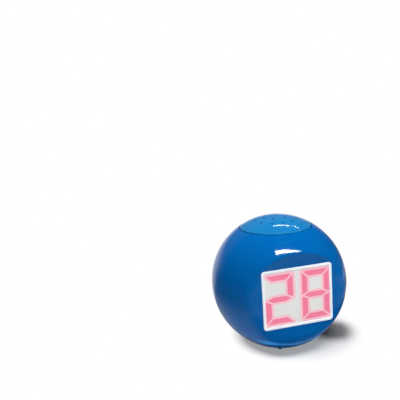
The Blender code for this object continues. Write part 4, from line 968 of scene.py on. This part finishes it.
# Strips are placed by where their reflections begin and end in the picture
lights = {
    "frontStrip": {"seen": ((275.6, 252.9), (302.0, 252.3)), "reach": (0.50, 1.9), "width": 0.066,
                   "radiance": 42.0},
    "rearStrip": {"seen": ((273.0, 225.9), (299.5, 228.4)), "reach": (1.0, 1.9), "width": 0.032,
                  "radiance": 17.0},
    "rear": {"spot": (-0.20, 0.50, 0.70), "size": 0.45, "power": 3.4},
    "front": {"spot": (0.12, -0.38, 0.98), "size": 0.5, "power": 10.8},
    "ambient": 0.075,
}


def addArea(name, spot, size, power):
    data = bpy.data.lights.new(name, 'AREA')
    data.shape = 'RECTANGLE'
    data.size, data.size_y = size
    data.energy = power
    lamp = show(bpy.data.objects.new(name, data))
    lamp.location = spot
    lamp.rotation_euler = (ballCentre - Vector(spot)).to_track_quat('-Z', 'Y').to_euler()
    return lamp


def addStrip(name, seen, reach, width, radiance):
    ends = []
    for pixel, distance in zip(seen, reach):
        spot, heading = mirrorRay(pixel)
        ends.append(spot + heading * distance)
    middle, along = (ends[0] + ends[1]) / 2, ends[1] - ends[0]
    lamp = addArea(name, middle, (along.length, width), radiance * 4 * along.length * width)
    side = along.normalized()
    facing = middle - ballCentre
    facing = (facing - side * facing.dot(side)).normalized()
    turn = Matrix((side, facing.cross(side), facing)).transposed()
    lamp.matrix_world = Matrix.Translation(middle) @ turn.to_4x4()
    lamp.visible_diffuse = False


def makeLights():
    addStrip("frontStrip", **lights["frontStrip"])
    addStrip("rearStrip", **lights["rearStrip"])
    for name in ("rear", "front"):
        lamp = addArea(name, lights[name]["spot"], (lights[name]["size"],) * 2, lights[name]["power"])
        lamp.visible_glossy = False
    print("lights placed")


makeLights()


# The white backdrop: all round for the camera, and behind the ball for what the gloss mirrors
backdrop = {"heading": (0.0, 1.0, 0.0), "white": 0.8, "ceiling": 0.16, "dark": 0.01, "behind": (0.72, 0.93),
            "whiteLevels": (0.0, 0.25), "ceilingLevels": (0.75, 0.92), "ceilingSide": (0.55, 0.80)}
white = (1.0, 1.0, 1.0)


# Which rays see the floor and the backdrop as mirrored, and which see them at all
def rayKinds(tree):
    path = node(tree, 'ShaderNodeLightPath').outputs
    mirrored = maths(tree, 'MAXIMUM', path["Is Glossy Ray"], path["Is Transmission Ray"])
    return path["Is Camera Ray"], mirrored


def makeWorld():
    world = bpy.data.worlds.new("studio")
    bpy.context.scene.world = world
    world.use_nodes = True
    tree = world.node_tree
    spot = node(tree, 'ShaderNodeTexCoord').outputs["Generated"]
    height = axisOf(tree, spot, "Z")
    aside = vectorMaths(tree, 'DOT_PRODUCT', spot, backdrop["heading"])
    sheet = multiply(tree, ramp(tree, aside, *backdrop["behind"]),
                     ramp(tree, height, *backdrop["whiteLevels"], 1.0, 0.0))
    ceiling = multiply(tree, ramp(tree, aside, *backdrop["ceilingSide"]),
                       ramp(tree, height, *backdrop["ceilingLevels"], 1.0, 0.0))
    shade = mixColour(tree, ceiling, (backdrop["dark"],) * 3, (backdrop["ceiling"],) * 3)
    shade = mixColour(tree, sheet, shade, (backdrop["white"],) * 3)
    camera, mirrored = rayKinds(tree)
    shade = mixColour(tree, mirrored, (lights["ambient"],) * 3, shade)
    fill(tree, tree.nodes["Background"], {"Color": mixColour(tree, camera, shade, white)})


makeWorld()

# Distances are in metres from the ball's foot. The mirrored rows say how bright the gloss sees the floor.
floorLook = {
    "size": 3.0, "cells": 40, "colour": (0.80, 0.80, 0.80), "roughness": 0.6, "gloss": 0.1, "reach": 0.7,
    # A share of painted white is mixed over the real shadow in front of the foot
    "shadowMiddle": (0.020, 0.010, 0.0), "shadowRange": (0.046, 0.070), "paintedLightUnderBall": 0.32,
    # The patch rows make a painted shadow: the floor's colour darkened to the right of the foot
    "patch": (0.056, -0.006, 0.0), "patchRange": (0.010, 0.034), "paintedShadowColour": (0.20, 0.20, 0.20),
    # The next rows paint a reflection: a blue ring glowing on the floor, seen by gloss alone
    "paintedRimGlow": (0.35, 1.45, 3.0), "paintedRimGlowInner": (0.034, 0.038), "paintedRimGlowOuter": (0.041, 0.048),
    "paintedRimGlowSide": (-1.0, -0.6), "leftSide": (-0.85, -0.45),
    "mirroredFront": ((0.05, 0.02), (0.12, 0.03), (0.145, 0.40), (0.165, 0.38), (0.19, 0.15), (0.26, 0.35),
                      (0.32, 0.50), (0.42, 0.12), (0.60, 0.07)),
    "mirroredLeft": ((0.03, 0.22), (0.08, 0.48), (0.12, 0.45), (0.16, 0.22), (0.21, 0.08), (0.60, 0.06)),
}


# What reflections see of the floor
def mirroredFloor(tree, spot):
    far = vectorMaths(tree, 'LENGTH', spot)
    share = maths(tree, 'DIVIDE', far, floorLook["reach"])
    way = vectorMaths(tree, 'NORMALIZE', spot)
    side = axisOf(tree, way, "X")
    front, left = (colourRamp(tree, share, [(distance / floorLook["reach"], (value,) * 3)
                                            for distance, value in floorLook[name]])
                   for name in ("mirroredFront", "mirroredLeft"))
    shade = mixColour(tree, ramp(tree, side, *floorLook["leftSide"], 1.0, 0.0), front, left)
    behind = ramp(tree, vectorMaths(tree, 'DOT_PRODUCT', way, backdrop["heading"]), *backdrop["behind"])
    shade = mixColour(tree, behind, shade, white)
    # A painted reflection: a blue ring glows on the floor for gloss alone and puts a light line along the
    # ball's lower edge
    ring = multiply(tree, ramp(tree, far, *floorLook["paintedRimGlowInner"]),
                    ramp(tree, far, *floorLook["paintedRimGlowOuter"], 1.0, 0.0))
    ring = multiply(tree, ring, ramp(tree, side, *floorLook["paintedRimGlowSide"]))
    return mixColour(tree, ring, shade, floorLook["paintedRimGlow"])


def makeFloor():
    bm = bmesh.new()
    bmesh.ops.create_grid(bm, x_segments=floorLook["cells"], y_segments=floorLook["cells"],
                          size=floorLook["size"])
    floor = show(bpy.data.objects.new("floor", meshFrom("floor", bm)))
    material, tree, shader = newMaterial("paleFloor")
    spot = node(tree, 'ShaderNodeNewGeometry').outputs["Position"]
    # A painted shadow, the floor's own colour darkened, lies to the right of the foot; in front of it painted
    # white is mixed over the real shadow
    near = vectorMaths(tree, 'DISTANCE', spot, floorLook["shadowMiddle"])
    # clear is zero at the painted shadow, the darker patch of floor colour right of the foot
    clear = ramp(tree, vectorMaths(tree, 'DISTANCE', spot, floorLook["patch"]), *floorLook["patchRange"])
    fill(tree, shader, {"Base Color": mixColour(tree, clear, floorLook["paintedShadowColour"], floorLook["colour"]),
                        "Roughness": floorLook["roughness"], "Specular IOR Level": floorLook["gloss"]})
    # Painted white lifts the real shadow everywhere but at the painted shadow
    away = maths(tree, 'MAXIMUM', ramp(tree, near, *floorLook["shadowRange"]),
                 multiply(tree, clear, floorLook["paintedLightUnderBall"]))
    camera, mirrored = rayKinds(tree)
    shade = mixColour(tree, mirrored, white, mirroredFloor(tree, spot))
    bright = node(tree, 'ShaderNodeEmission', {"Color": shade})
    factor = multiply(tree, away, maths(tree, 'MAXIMUM', camera, mirrored))
    both = node(tree, 'ShaderNodeMixShader', {0: factor, 1: shader.outputs[0], 2: bright.outputs[0]})
    fill(tree, tree.nodes["Material Output"], {"Surface": both.outputs[0]})
    floor.data.materials.append(material)


makeFloor()
bpy.context.scene.view_settings.view_transform = 'Standard'
